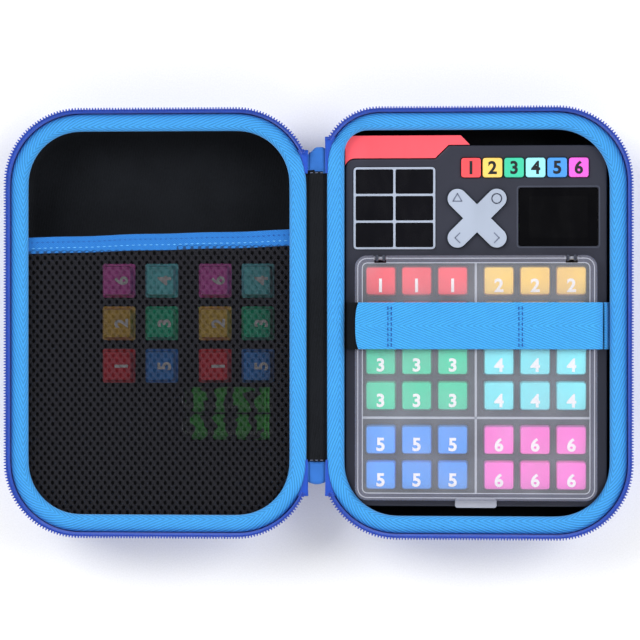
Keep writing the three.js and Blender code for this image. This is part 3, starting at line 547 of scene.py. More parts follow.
@dataclass(frozen=True)
class GlossWindow(Finish):
    """Dark polished window with faint smears."""

    def mix_recipe(self, recipe: Recipe) -> None:
        """Smears in the gloss, and a slight lightening in patches."""
        place = recipe.place()
        smear = recipe.noise(recipe.place(stretch=(1.0, 0.45, 1.0)), 7.0, 4.0)
        recipe.paint(recipe.mix(recipe.noise(place, 12.0), self.colour, shaded(self.colour, 1.6)))
        recipe.roughen(smear, self.roughness, self.roughness + 0.12)
        recipe.bump(recipe.noise(place, 25.0), 0.02)
        recipe.gloss(Specular_IOR_Level=0.3)


@dataclass(frozen=True)
class FrostedPlastic(Finish):
    """Clear plastic with a matted face."""

    opacity: float = 0.35

    def mix_recipe(self, recipe: Recipe) -> None:
        """Matting that is a little uneven in grain and density."""
        place = recipe.place()
        frost = recipe.noise(place, 0.4, 4.0)
        cloud = recipe.noise(place, 26.0, 2.0)
        recipe.paint(recipe.mix(cloud, shaded(self.colour, 0.92), shaded(self.colour, 1.08)))
        recipe.roughen(frost, self.roughness - 0.05, self.roughness + 0.1)
        recipe.bump(frost, 0.015)
        recipe.gloss(Specular_IOR_Level=0.4)
        recipe.see_through(recipe.ease(cloud, 0.2, 0.8, self.opacity - 0.03, self.opacity + 0.03))


@dataclass(frozen=True)
class PrintedSleeve(Finish):
    """Shrunk sleeve of a cell: a colour with plain dark swirls and two thin rings near its flat end."""

    swirl: tuple[float, float, float, float] = (0.003, 0.012, 0.004, 1.0)
    rings: tuple[float, float] = (2.6, 4.4)
    flat_end: float = -24.2

    def mix_recipe(self, recipe: Recipe) -> None:
        """Swirls from warped bands, rings at two distances from the end, and black at both ends."""
        place = recipe.place()
        x, _, _ = recipe.split(place)
        warp = recipe.noise(place, 9.0, 1.5)
        bands = recipe.wave(recipe.math("MULTIPLY_ADD", warp, 16.0, x), 12.0)
        leaf = recipe.ease(bands, 0.28, 0.42)
        coat = recipe.mix(leaf, self.swirl, self.colour)
        away = recipe.math("SUBTRACT", self.flat_end, x)
        ring = 0.0
        for distance in self.rings:
            near = recipe.math("COMPARE", away, distance, 0.3)
            ring = recipe.math("MAXIMUM", ring, near)
        coat = recipe.mix(ring, coat, shaded(self.colour, 2.2))
        ends = recipe.math(
            "MAXIMUM", recipe.math("LESS_THAN", away, 1.9), recipe.math("GREATER_THAN", away, 47.6)
        )
        recipe.paint(recipe.mix(ends, coat, self.swirl))
        recipe.roughen(warp, self.roughness - 0.05, self.roughness + 0.1)
        recipe.bump(recipe.noise(place, 2.0), 0.03)


@dataclass(frozen=True)
class PaintedMetal(Finish):
    """Enamelled casting with rubbed edges."""

    metallic: float = 0.3

    def mix_recipe(self, recipe: Recipe) -> None:
        """Enamel that is thinner in patches."""
        place = recipe.place()
        worn = recipe.ease(recipe.noise(place, 1.5, 4.0), 0.58, 0.72)
        recipe.paint(recipe.mix(recipe.math("MULTIPLY", worn, 0.45), self.colour, linear(150, 155, 165)))
        recipe.roughen(recipe.noise(place, 0.8), self.roughness - 0.08, self.roughness + 0.12)
        recipe.bump(recipe.noise(place, 0.5), 0.03)
        recipe.gloss(Metallic=self.metallic)


@dataclass(frozen=True)
class BoardMask(Finish):
    """Lacquered circuit board with the lines of its tracks."""

    def mix_recipe(self, recipe: Recipe) -> None:
        """Straight tracks under lacquer."""
        place = recipe.place()
        x, y, _ = recipe.split(place)
        field_of = recipe.ease(recipe.noise(place, 9.0, 1.0), 0.48, 0.52)
        track = recipe.ease(recipe.wave(recipe.math("MULTIPLY_ADD", y, 0.4, x), 1.8), 0.6, 0.8)
        lines = recipe.math("MULTIPLY", track, field_of)
        recipe.paint(recipe.mix(lines, self.colour, shaded(self.colour, 1.9)))
        recipe.bump(lines, 0.05)
        recipe.roughen(recipe.noise(place, 3.0), self.roughness, self.roughness + 0.15)


@dataclass(frozen=True)
class Ink(Finish):
    """Printed or moulded mark."""

    def mix_recipe(self, recipe: Recipe) -> None:
        """Slightly uneven print."""
        place = recipe.place()
        tone = recipe.noise(place, 0.8, 4.0)
        recipe.paint(recipe.mix(tone, shaded(self.colour, 0.9), shaded(self.colour, 1.08)))
        recipe.roughen(tone, self.roughness, self.roughness + 0.1)
        recipe.bump(tone, 0.01)


@dataclass(frozen=True)
class Thread(Finish):
    """Sewing thread with a visible twist."""

    def mix_recipe(self, recipe: Recipe) -> None:
        """Twist across the thread, painted as shade and highlight."""
        place = recipe.place()
        x, y, _ = recipe.split(place)
        twist = recipe.wave(recipe.math("ADD", x, y), 0.35)
        # painted shade and highlight along the twist
        recipe.paint(recipe.mix(twist, shaded(self.colour, 0.75), shaded(self.colour, 1.2)))
        recipe.bump(twist, 0.05)


AZURE = Webbing("azure_binding", linear(64, 160, 238), 0.75, pitch=1.55, slope=0.42, middle=5.6)
AZURE_STRAP = Webbing(
    "azure_strap", linear(62, 164, 240), 0.75, pitch=1.35, slope=0.4, middle=0.0, depth=0.22
)
AZURE_HEM = Webbing("azure_hem", linear(40, 122, 206), 0.8, pitch=1.1, slope=0.8, middle=-20.0, depth=0.12)
ROYAL_TAPE = PlainCloth("royal_tape", linear(36, 84, 196), 0.85, thread=0.5)
ROYAL_COIL = ZipCoil("royal_coil", linear(34, 66, 170), 0.45)
SPINE_BLUE = PlainCloth("spine_cloth", linear(50, 116, 204), 0.85, thread=0.6)
SHELL_BLUE = PlainCloth("shell_cloth", linear(44, 92, 190), 0.8, thread=0.9, depth=0.12)
LINING_BLACK = BrushedKnit("black_knit", linear(20, 22, 26), 0.95)
HOOK_BLACK = BrushedKnit("black_hook_tape", linear(18, 19, 22), 0.95, comb=1.0)
NET_THREAD = Net("net_thread", linear(46, 46, 52), 0.85, opacity=0.46)
# dark see-through film in the net's holes: a painted shadow, not part of the net
NET_HOLE_SHADOW = Net("net_gap", linear(4, 4, 6), 0.95, opacity=0.50)
CHARCOAL = MouldedPlastic("charcoal_housing", linear(46, 48, 60), 0.48)
TRAY_GREY = MouldedPlastic("tray_plastic", linear(58, 60, 72), 0.6)
# lighter grey of the deck's raised trim: a painted highlight along its edges
EDGE_HIGHLIGHT_GREY = MouldedPlastic("edge_grey", linear(66, 70, 84), 0.5)
DISPLAY_GREY = GlossWindow("display", linear(9, 9, 11), 0.16)
CORAL = MouldedPlastic("coral_plastic", linear(255, 92, 104), 0.42)
PALE_GREY = MouldedPlastic("pale_grey_plastic", linear(164, 174, 192), 0.5)
PANE_BLACK = GlossWindow("dark_pane", linear(14, 14, 18), 0.2)
SCREEN_BLACK = GlossWindow("screen_window", linear(8, 8, 10), 0.12)
COVER_PLATE = FrostedPlastic("frosted_plate", linear(200, 204, 216), 0.4, opacity=0.14)
COVER_RIM = FrostedPlastic("frosted_rim", linear(140, 142, 160), 0.35, opacity=0.34)
COVER_EDGE = FrostedPlastic("frosted_edge", linear(196, 200, 214), 0.3, opacity=0.62)
SLEEVE_GREEN = linear(60, 170, 60)
CELL_METAL = PaintedMetal("cell_metal", linear(190, 192, 196), 0.3, metallic=0.9)
SLIDER_BLUE = PaintedMetal("slider_enamel", linear(34, 66, 170), 0.35)
BOARD_GREEN = BoardMask("board_lacquer", linear(30, 106, 60), 0.4)
WHITE_INK = Ink("white_digit", linear(255, 246, 252), 0.5)
BLACK_INK = Ink("black_digit", linear(20, 24, 30), 0.5)
ICON_INK = Ink("icon_line", linear(104, 112, 134), 0.5)
DARK_THREAD = Thread("dark_blue_thread", linear(20, 76, 160), 0.8)
LIGHT_THREAD = Thread("light_blue_thread", linear(110, 190, 255), 0.8)
PALE_THREAD = Thread("pale_thread", linear(120, 130, 160), 0.8)


# ---------------------------------------------------------------- making meshes


class Blank:
    """A mesh in the making, in millimetres and in the model's frame."""

    def __init__(self) -> None:
        """Starts an empty mesh with a layer for the run of a weave."""
        self.mesh: BMesh = bmesh.new()
        self.weave = self.mesh.loops.layers.uv.new(RUN_LAYER)
        self.across = self.mesh.verts.layers.float.new("across")

    def outline(
        self, corners: Sequence[
            tuple[float, float]
        ], z: float, radii: Sequence[float] | float = 0.0, segments: int = 6
    ) -> BMFace:
        """Makes a flat face with rounded corners.

        Args:
            corners: the corner points, in order.
            z: the face's height.
            radii: radius of each corner, or of all of them.
            segments: segments in each rounded corner.

        Returns:
            The face.
        """
        mesh = self.mesh
        others = set(mesh.faces)
        verts = [mesh.verts.new((x, y, z)) for x, y in corners]
        mesh.faces.new(verts)
        if isinstance(radii, (int, float)):
            radii = [radii] * len(verts)
        offsets = []
        for i, radius in enumerate(radii):
            before = verts[i - 1].co - verts[i].co
            after = verts[(i + 1) % len(verts)].co - verts[i].co
            offsets.append(radius / math.tan(before.angle(after) / 2))
        for vert, offset in zip(verts, offsets):
            if offset > 0:
                bmesh.ops.bevel(
                    mesh,
                    geom=[vert],
                    offset=offset,
                    offset_type="OFFSET",
                    segments=segments,
                    profile=0.5,
                    affect="VERTICES",
                    material=-1,
                    clamp_overlap=False,
                )
        return next(f for f in mesh.faces if f not in others)

    def plate(
        self, centre: tuple[
            float, float
        ], size: tuple[float, float], z: float, radius: float = 0.0, segments: int = 6
    ) -> BMFace:
        """Flat rectangle about a centre, with its corners rounded."""
        (x, y), (w, l) = centre, (size[0] / 2, size[1] / 2)
        return self.outline(
            [(x - w, y - l), (x + w, y - l), (x + w, y + l), (x - w, y + l)], z, radius, segments
        )

    def raise_face(self, face: BMFace, height: float) -> BMFace:
        """Extrudes a face along Z into a solid and returns its far face."""
        made = bmesh.ops.extrude_face_region(self.mesh, geom=[face], use_keep_orig=True)["geom"]
        bmesh.ops.translate(self.mesh, vec=(0, 0, height), verts=[g for g in made if isinstance(g, BMVert)])
        return next(g for g in made if isinstance(g, BMFace))

    def slab(
        self,
        centre: tuple[float, float],
        size: tuple[float, float],
        heights: tuple[float, float],
        radius: float = 0.0,
        edge: float = 0.0,
        segments: int = 6,
    ) -> BMFace:
        """Rounded block with its upper edge softened.

        Args:
            centre: middle of the block, seen from above.
            size: width and length.
            heights: heights of its lower and upper faces.
            radius: radius of its upright corners.
            edge: width of the soft upper edge.
            segments: segments in each upright corner.

        Returns:
            The upper face.
        """
        top = self.raise_face(self.plate(centre, size, heights[0], radius, segments), heights[1] - heights[0])
        if edge:
            self.soften(list(top.edges), edge)
        return top

    def soften(self, edges: Iterable[BMEdge], width: float, segments: int = 3) -> None:
        """Rounds edges off."""
        bmesh.ops.bevel(
            self.mesh,
            geom=list(edges),
            offset=width,
            offset_type="OFFSET",
            segments=segments,
            profile=0.5,
            affect="EDGES",
            material=-1,
            clamp_overlap=True,
        )

    def skin(self, rings: Sequence[Callable[[], list[BMEdge]]], closed: bool = False) -> None:
        """Joins each ring of edges to the next with faces.

        Args:
            rings: makers of the rings, each of which can be made more than once.
            closed: whether the last ring joins the first.
        """
        following = [*rings[1:], rings[0]] if closed else rings[1:]
        for first, second in zip(rings, following):
            bmesh.ops.bridge_loops(self.mesh, edges=[*first(), *second()])
        bmesh.ops.remove_doubles(self.mesh, verts=self.mesh.verts, dist=0.001)

    def fill_holes(self, below: float = 100.0) -> None:
        """Closes the open rings that lie below a height."""
        rims = [e for e in self.mesh.edges if e.is_boundary and all(v.co.z < below for v in e.verts)]
        bmesh.ops.holes_fill(self.mesh, edges=rims, sides=0)

    def lathe(
        self, profile: Sequence[tuple[float, float]], start: Vector, axis: Vector, steps: int = 32
    ) -> None:
        """Turns a profile of (distance along, radius) about an axis that leaves a start point."""
        side = axis.orthogonal().normalized()
        verts = [self.mesh.verts.new(start + axis * a + side * r) for a, r in profile]
        edges = [self.mesh.edges.new(pair) for pair in zip(verts, verts[1:])]
        bmesh.ops.spin(
            self.mesh,
            geom=[*verts, *edges],
            cent=start,
            axis=axis,
            dvec=(0, 0, 0),
            angle=2 * math.pi,
            steps=steps,
            use_merge=True,
        )

    def cloth(self, columns: int, rows: int, place: Callable[[float, float], Sequence[float]]) -> None:
        """Lays a grid of cloth, with its weave measured along its middle lines.

        Args:
            columns: cells along the run.
            rows: cells across it.
            place: the point for u along and v across, both from 0 to 1.
        """
        grid = bmesh.ops.create_grid(self.mesh, x_segments=columns, y_segments=rows, size=0.5)["verts"]
        spots = {vert: (vert.co.x + 0.5, vert.co.y + 0.5) for vert in grid}
        run = [0.0]
        for i in range(columns):
            step = Vector(place((i + 1) / columns, 0.5)) - Vector(place(i / columns, 0.5))
            run.append(run[-1] + step.length)
        width = sum(
            (Vector(place(0.5, (i + 1) / rows)) - Vector(place(0.5, i / rows))).length for i in range(rows)
        )
        for vert, (u, v) in spots.items():
            vert.co = place(u, v)
        for face in {f for vert in grid for f in vert.link_faces}:
            for loop in face.loops:
                u, v = spots[loop.vert]
                loop[self.weave].uv = (run[round(u * columns)], (v - 0.5) * width)

    def stamp(self, source: bpy.types.Mesh, matrix: Matrix, slot: int = 0) -> None:
        """Adds a copy of a finished mesh, moved by a matrix and in a material slot."""
        copy = source.copy()
        copy.transform(matrix)
        copy.polygons.foreach_set("material_index", [slot] * len(copy.polygons))
        self.mesh.from_mesh(copy)
        bpy.data.meshes.remove(copy)

    def paint(self, faces: Iterable[BMFace], slot: int) -> None:
        """Gives faces a material slot."""
        for face in faces:
            face.material_index = slot

    def right_way_out(self) -> None:
        """Turns every face outwards."""
        bmesh.ops.recalc_face_normals(self.mesh, faces=self.mesh.faces)

    def right_way_up(self) -> None:
        """Turns every face of an open sheet upwards, as the majority of it lies."""
        bmesh.ops.recalc_face_normals(self.mesh, faces=self.mesh.faces)
        if sum(f.normal.z * f.calc_area() for f in self.mesh.faces) < 0:
            bmesh.ops.reverse_faces(self.mesh, faces=self.mesh.faces)

    def to_object(self, name: str, finishes: Sequence[Finish], smooth: float = 40.0) -> bpy.types.Object:
        """Makes the mesh a piece in metres.

        Args:
            name: the piece's name.
            finishes: one finish for each material slot.
            smooth: edges sharper than this many degrees stay sharp.

        Returns:
            The piece, not yet riding on a body.
        """
        bmesh.ops.transform(self.mesh, matrix=Matrix.Scale(MM, 4), verts=self.mesh.verts)
        data = bpy.data.meshes.new(name)
        self.mesh.to_mesh(data)
        self.mesh.free()
        data.shade_smooth()
        data.set_sharp_from_angle(angle=math.radians(smooth))
        for finish in finishes:
            data.materials.append(finish.material())
        piece = bpy.data.objects.new(name, data)
        bpy.context.scene.collection.objects.link(piece)
        return piece


def bake_modifiers(piece: bpy.types.Object) -> None:
    """Replaces a piece's mesh with the result of its modifiers."""
    bpy.context.view_layer.update()
    graph = bpy.context.evaluated_depsgraph_get()
    data = bpy.data.meshes.new_from_object(piece.evaluated_get(graph))
    piece.modifiers.clear()
    old = piece.data
    piece.data = data
    data.name = piece.name
    bpy.data.meshes.remove(old)


def carve(piece: bpy.types.Object, cutter: Blank) -> None:
    """Cuts a closed blank out of a piece."""
    cutter.right_way_out()
    tool = cutter.to_object(f"{piece.name}_cutter", [])
    cut = piece.modifiers.new("carve", "BOOLEAN")
    cut.operation = "DIFFERENCE"
    cut.solver = "EXACT"
    cut.use_self = True
    cut.object = tool
    bake_modifiers(piece)
    bpy.data.objects.remove(tool)


def round_edges(piece: bpy.types.Object, width: float, segments: int = 2, angle: float = 35.0) -> None:
    """Adds a live bevel to a piece's sharp edges."""
    bevel = piece.modifiers.new("soft_edges", "BEVEL")
    bevel.width = width * MM
    bevel.segments = segments
    bevel.limit_method = "ANGLE"
    bevel.angle_limit = math.radians(angle)
    bevel.harden_normals = True


def thicken(piece: bpy.types.Object, thickness: float, offset: float = 0.0) -> None:
    """Gives a sheet its thickness, centred on it unless an offset from -1 to 1 says otherwise."""
    solid = piece.modifiers.new("thickness", "SOLIDIFY")
    solid.thickness = thickness * MM
    solid.offset = offset
    solid.use_even_offset = True


def subdivide(piece: bpy.types.Object, levels: int = 1) -> None:
    """Adds a subdivision surface."""
    smooth = piece.modifiers.new("round", "SUBSURF")
    smooth.levels = smooth.render_levels = levels


@lru_cache(maxsize=None)
def character(text: str, height: float, weight: float, depth: float) -> bpy.types.Mesh:
    """A raised character about the origin.

    Args:
        text: the character.
        height: its height.
        weight: how far its outline is pushed out.
        depth: how thick it is.

    Returns:
        Its mesh, in millimetres.
    """
    curve = bpy.data.curves.new(f"character_{text}", "FONT")
    curve.body = text
    curve.size = height * 1.35
    curve.offset = weight
    curve.extrude = depth / 2
    curve.resolution_u = 5
    sample = bpy.data.objects.new("character", curve)
    bpy.context.scene.collection.objects.link(sample)
    bpy.context.view_layer.update()
    data = bpy.data.meshes.new_from_object(sample.evaluated_get(bpy.context.evaluated_depsgraph_get()))
    bpy.data.objects.remove(sample)
    bpy.data.curves.remove(curve)
    low = Vector(min(v.co[i] for v in data.vertices) for i in range(3))
    high = Vector(max(v.co[i] for v in data.vertices) for i in range(3))
    scale = height / (high.y - low.y)
    data.transform(Matrix.Diagonal((scale, scale, 1, 1)) @ Matrix.Translation(-(low + high) / 2))
    return data


def node_box(node: str) -> tuple[Vector, Vector]:
    """Lowest and highest corner of a frame node, in millimetres."""
    low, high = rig.box(node)
    return low / MM, high / MM


def footprint(node: str) -> tuple[tuple[float, float], tuple[float, float]]:
    """Middle and size of a frame node from above, in millimetres."""
    low, high = node_box(node)
    return ((low.x + high.x) / 2, (low.y + high.y) / 2), (high.x - low.x, high.y - low.y)


def refined(node: str) -> Blank:
    """Copy of a frame node's mesh, merged and with its flat faces whole."""
    blank = Blank()
    blank.mesh.from_mesh(bpy.data.objects[node].data)
    bmesh.ops.transform(blank.mesh, matrix=Matrix.Scale(1 / MM, 4), verts=blank.mesh.verts)
    bmesh.ops.remove_doubles(blank.mesh, verts=blank.mesh.verts, dist=0.002)
    bmesh.ops.dissolve_limit(
        blank.mesh, angle_limit=math.radians(1), verts=blank.mesh.verts, edges=blank.mesh.edges, delimit=set()
    )
    blank.paint(blank.mesh.faces, 0)
    return blank


def settle(piece: bpy.types.Object, body: str, slot: str, *nodes: str) -> bpy.types.Object:
    """Lets a piece ride on a body, stand for frame nodes and take a record slot's finish."""
    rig.ride(piece, body)
    if nodes:
        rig.replaces(piece, *nodes)
    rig.slot(piece, slot)
    if slot in HARD_SLOTS or slot.startswith(("tile_", "key_")):
        even = piece.modifiers.new("even_shading", "WEIGHTED_NORMAL")
        even.weight = 100
        even.keep_sharp = True
    LOG.info("%s: %d faces on %s", piece.name, len(piece.data.polygons), body)
    return piece


# ---------------------------------------------------------------- the case


@dataclass(frozen=True)
class Corner:
    """Round corner of the rim, as if on the base."""

    x: float
    y: float
    radius: float
    start: float  # degrees where the walk round the rim meets it


class Rim:
    """Outline of one half at its rim, from the middle of the spine's side round the far end first."""

    def __init__(
        self, half: Half, corner: float = 37.5, pressed_corner: float = 28.0, pressed_inner: float = 12.5
    ) -> None:
        """Takes the rim's size from the frame.

        Args:
            half: which half it is.
            corner: radius of the corners.
            pressed_corner: radius of the base's corner that the console presses out.
            pressed_inner: radius of the binding's inner edge there.
        """
        low, high = node_box("base_binding")
        binding_width = 9.3
        self.least_radius = 2.0
        self.half = half
        self.left, self.right, self.end = low.x, high.x, high.y
        pressed = pressed_corner if half is Half.BASE else corner
        self.radii = (corner, corner, corner, pressed)
        self.shrink = (
            1.0, 1.0, 1.0, (pressed_corner - pressed_inner) / binding_width if half is Half.BASE else 1.0
        )
        r = self.radii
        self.corners = (
            Corner(self.left + r[3], self.end - r[3], r[3], 180),
            Corner(self.right - r[2], self.end - r[2], r[2], 90),
            Corner(self.right - r[1], -self.end + r[1], r[1], 0),
            Corner(self.left + r[0], -self.end + r[0], r[0], -90),
        )
        arcs = [c.radius * math.pi / 2 for c in self.corners]
        sides = (
            self.corners[1].x - self.corners[0].x,
            self.corners[1].y - self.corners[2].y,
            self.corners[2].x - self.corners[3].x,
        )
        self.starts = [self.corners[0].y]
        for arc, side in zip(arcs, sides):
            self.starts.append(self.starts[-1] + arc + side)
        self.length = self.starts[3] + arcs[3] - self.corners[3].y

    def run(self, x: float, y: float) -> float:
        """Distance along the rim of its nearest point to (x, y)."""
        x = abs(x)
        outward = ((-1, 1), (1, 1), (1, -1), (-1, -1))
        for corner, start, (sx, sy) in zip(self.corners, self.starts, outward):
            dx, dy = x - corner.x, y - corner.y
            if dx * sx >= 0 and dy * sy >= 0:
                turn = (corner.start - math.degrees(math.atan2(dy, dx)) + 360) % 360
                return start + math.radians(min(turn, 90)) * corner.radius
        gaps = (x - self.left, self.end - y, self.right - x, y + self.end)
        side = gaps.index(min(gaps))
        c = self.corners
        if side == 0:
            return y if y >= 0 else self.length + y
        if side == 1:
            return self.starts[1] - (c[1].x - x)
        if side == 2:
            return self.starts[2] - (y - c[2].y)
        return self.starts[3] - (x - c[3].x)

    def point(self, run: float, out: float) -> tuple[Vector, float]:
        """Point at a distance along the rim and outside it, and the outward angle there."""
        run %= self.length
        sign = self.half.value
        for corner, start in zip(self.corners, self.starts):
            turn = (run - start) / corner.radius
            if 0 <= turn <= math.pi / 2:
                angle = math.radians(corner.start) - turn
                reach = corner.radius + out
                x, y = corner.x + reach * math.cos(angle), corner.y + reach * math.sin(angle)
                return Vector((sign * x, y, 0)), angle if sign > 0 else math.pi - angle
        c = self.corners
        if run < self.starts[0] or run > self.starts[3] + c[3].radius * math.pi / 2:
            y = run if run < self.starts[0] else run - self.length
            return Vector((sign * (self.left - out), y, 0)), math.pi if sign > 0 else 0.0
        if run < self.starts[1]:
            return Vector((sign * (c[1].x - (self.starts[1] - run)), self.end + out, 0)), math.pi / 2
        if run < self.starts[2]:
            return Vector(
                (sign * (self.right + out), c[2].y + self.starts[2] - run, 0)
            ), 0.0 if sign > 0 else math.pi
        return Vector((sign * (c[3].x + self.starts[3] - run), -self.end - out, 0)), -math.pi / 2

    def ring(
        self, blank: Blank, inset: float, z: float, across: float, segments: int = 10, cuts: int = 14
    ) -> list[BMEdge]:
        """Ring of edges set in from the rim.

        Args:
            blank: the mesh that it is made in.
            inset: distance in from the rim.
            z: its height.
            across: where it lies across the cloth's run.
            segments: segments in each corner.
            cuts: cuts in each straight side.

        Returns:
            The ring's edges.
        """
        left, right, end = self.left + inset, self.right - inset, self.end - inset
        radii = [max(r - inset * k, self.least_radius) for r, k in zip(self.radii, self.shrink)]
        face = blank.outline([(left, -end), (right, -end), (right, end), (left, end)], z, radii, segments)
        edges = list(face.edges)
        blank.mesh.faces.remove(face)
        long_sides = [e for e in edges if e.calc_length() > 50]
        short_sides = [e for e in edges if e not in long_sides]
        made = bmesh.ops.subdivide_edges(blank.mesh, edges=long_sides, cuts=cuts)["geom_split"]
        edges = short_sides + [g for g in made if isinstance(g, BMEdge)]
        for vert in {v for e in edges for v in e.verts}:
            vert[blank.across] = across
        return edges

    def sweep(self, blank: Blank, profile: Sequence[tuple[float, float]], closed: bool) -> None:
        """Runs a profile of (inset, height) round the rim."""
        makers, across = [], 0.0
        for i, (inset, z) in enumerate(profile):
            if i:
                across += math.hypot(inset - profile[i - 1][0], z - profile[i - 1][1])
            makers.append(partial(self.ring, blank, inset, z, across))
        blank.skin(makers, closed)

    def lay_weave(self, blank: Blank, closing: float = 0.0) -> None:
        """Measures the weave along and across the swept faces.

        Args:
            blank: the swept mesh, as if on the base.
            closing: width of the whole section, where it is closed.
        """
        for face in blank.mesh.faces:
            runs = [self.run(loop.vert.co.x, loop.vert.co.y) for loop in face.loops]
            spans = [loop.vert[blank.across] for loop in face.loops]
            if max(runs) - min(runs) > self.length / 2:
                runs = [r + self.length if r < self.length / 2 else r for r in runs]
            if closing and max(spans) - min(spans) > closing / 2:
                spans = [s + closing if s < closing / 2 else s for s in spans]
            for loop, run, span in zip(face.loops, runs, spans):
                loop[blank.weave].uv = (run, span)

    def mirror(self, blank: Blank) -> None:
        """Turns the mesh over to the lid's side if the rim is the lid's, with its faces outwards."""
        if self.half is Half.LID:
            bmesh.ops.scale(blank.mesh, vec=(-1, 1, 1), verts=blank.mesh.verts)
        blank.right_way_out()


@dataclass
class CaseHalf:
    """One moulded half: cloth-covered shell, knitted lining, bound rim and its side of the zip."""

    half: Half
    wall_inset: float = 0.6
    wall: float = 3.2
    wall_top: float = 23.8
    shell_floor: float = 3.0
    edge_radius: float = 8.0
    lining_inset: float = 4.1
    lining_thickness: float = 0.8
    lining_floor: float = 4.15
    rim_height: float = 27.5
    binding_bottom: float = 24.1
    lean: float = 18.0
    tooth_pitch: float = 1.55
    tooth_heights: tuple[float, float] = (30.7, 32.75)
    tape_top: float = 30.35
    rim: Rim = field(init=False)

    def __post_init__(self) -> None:
        """Makes the rim's outline."""
        self.rim = Rim(self.half)

    @property
    def side(self) -> str:
        """Name of the half, which is its body's name too."""
        return self.half.name.lower()

    def wall_profile(
        self, inset: float, floor: float, edge: float, steps: int = 6
    ) -> list[tuple[float, float]]:
        """Insets and heights from the floor up round its edge to the wall's top."""
        turns = [math.pi / 2 * i / steps for i in range(steps + 1)]
        foot = [(inset + edge * (1 - math.sin(t)), floor + edge * (1 - math.cos(t))) for t in turns]
        return [*foot, (inset, (floor + edge + self.wall_top) / 2), (inset, self.wall_top)]

    def build(self) -> None:
        """Makes every piece of the half."""
        self.build_shell()
        self.build_lining()
        self.build_binding()
        self.build_zip_tape()
        self.build_teeth()

    def build_shell(self) -> None:
        """Moulded shell with a shallow raised panel under its floor."""
        blank = Blank()
        outer = self.wall_profile(self.wall_inset, 0.0, self.edge_radius)
        inner_edge = self.edge_radius - self.wall
        inner = self.wall_profile(self.wall_inset + self.wall, self.shell_floor, inner_edge)[::-1]
        groove = [
            (self.edge_radius + 7.0, 0.0),
            (self.edge_radius + 6.0, 0.7),
            (self.edge_radius + 3.4, 0.7),
            (self.edge_radius + 2.4, 0.0),
        ]
        self.rim.sweep(blank, [*groove, *outer, *inner], closed=False)
        blank.fill_holes()
        self.rim.mirror(blank)
        piece = blank.to_object(f"{self.side}_shell_cloth", [SHELL_BLUE])
        settle(piece, self.side, "shell_cloth", f"{self.side}_shell")

    def build_lining(self) -> None:
        """Knitted lining glued over the inside."""
        blank = Blank()
        inset = self.lining_inset + self.lining_thickness
        profile = self.wall_profile(inset, self.lining_floor, self.edge_radius - self.wall)[::-1]
        self.rim.sweep(blank, [*profile, (20.0, self.lining_floor), (34.0, self.lining_floor)], closed=False)
        blank.fill_holes(self.wall_top - 1)
        area = sum(f.calc_area() for f in blank.mesh.faces) * MM**2
        bmesh.ops.recalc_face_normals(blank.mesh, faces=blank.mesh.faces)
        if self.half is Half.LID:
            bmesh.ops.scale(blank.mesh, vec=(-1, 1, 1), verts=blank.mesh.verts)
            bmesh.ops.reverse_faces(blank.mesh, faces=blank.mesh.faces)
        floor = max(blank.mesh.faces, key=BMFace.calc_area)
        if floor.normal.z < 0:
            bmesh.ops.reverse_faces(blank.mesh, faces=blank.mesh.faces)
        piece = blank.to_object(f"{self.side}_lining_knit", [LINING_BLACK], 60)
        thicken(piece, self.lining_thickness, -1.0)
        settle(piece, self.side, "lining", f"{self.side}_lining")
        wall = self.wall_top - self.lining_floor
        flat = (
            (self.rim.right - self.rim.left - 2 * inset + 2 * wall) * MM,
            2 * (self.rim.end - inset + wall) * MM,
        )
        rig.sheet(piece, flat=flat, held="stretched", rests_on=[f"{self.side}_shell_cloth"], area=area)

    def build_binding(self) -> None:
        """Woven tape folded over the rim, crowned on top."""
        bottom, rim = self.binding_bottom, self.rim_height
        section = [
            (8.3, bottom + 0.05),
            (9.0, bottom + 0.45),
            (9.32, 25.2),
            (9.15, 26.4),
            (8.4, 27.5),
            (7.1, 28.3),
            (5.3, 28.75),
            (3.4, 28.8),
            (1.7, 28.55),
            (0.5, 28.0),
            (0.0, rim - 0.3),
            (0.0, 25.6),
            (0.25, bottom + 0.05),
        ]
        blank = Blank()
        self.rim.sweep(blank, section, closed=True)
        width = sum(math.dist(a, b) for a, b in zip(section, [*section[1:], section[0]]))
        self.pucker(blank, 0.16)
        self.rim.lay_weave(blank, width)
        self.rim.mirror(blank)
        piece = blank.to_object(f"{self.side}_binding_tape", [AZURE], 60)
        subdivide(piece)
        settle(piece, self.side, "webbing", f"{self.side}_binding")

    def pucker(self, blank: Blank, depth: float) -> None:
        """Lets the tape swell and pull in a little along its run."""
        seed = random.Random(self.half.value + 7)
        waves = [(seed.uniform(14, 60), seed.uniform(0, math.tau), seed.uniform(0.3, 1.0)) for _ in range(5)]
        total = sum(w[2] for w in waves)
        for vert in blank.mesh.verts:
            run = self.rim.run(vert.co.x, vert.co.y)
            swell = sum(s * math.sin(run * math.tau / length + phase) for length, phase, s in waves) / total
            height = max(0.0, (vert.co.z - self.binding_bottom) / 4)
            vert.co.z += depth * swell * height

    def zip_ends(self, reach: float) -> tuple[float, float]:
        """Where along the rim the zip starts and ends, clear of the spine."""
        first, last = self.rim.corners[0], self.rim.corners[3]
        gap = 0.3
        begin = self.rim.starts[0] + first.radius * math.acos((first.radius - gap) / (first.radius + reach))
        arc = last.radius * (math.pi / 2 - math.acos((last.radius - gap) / (last.radius + reach)))
        return begin, self.rim.starts[3] + arc

    def out_at(self, z: float) -> float:
        """How far outside the rim the zip's tape lies at a height."""
        return 0.3 + math.tan(math.radians(self.lean)) * (z - self.rim_height)

    def along_zip(self, blank: Blank, section: Sequence[tuple[float, float]], reach: float) -> None:
        """Runs a closed section of (distance out, height) round the zip's three sides."""
        begin, end = self.zip_ends(reach)
        steps = 120

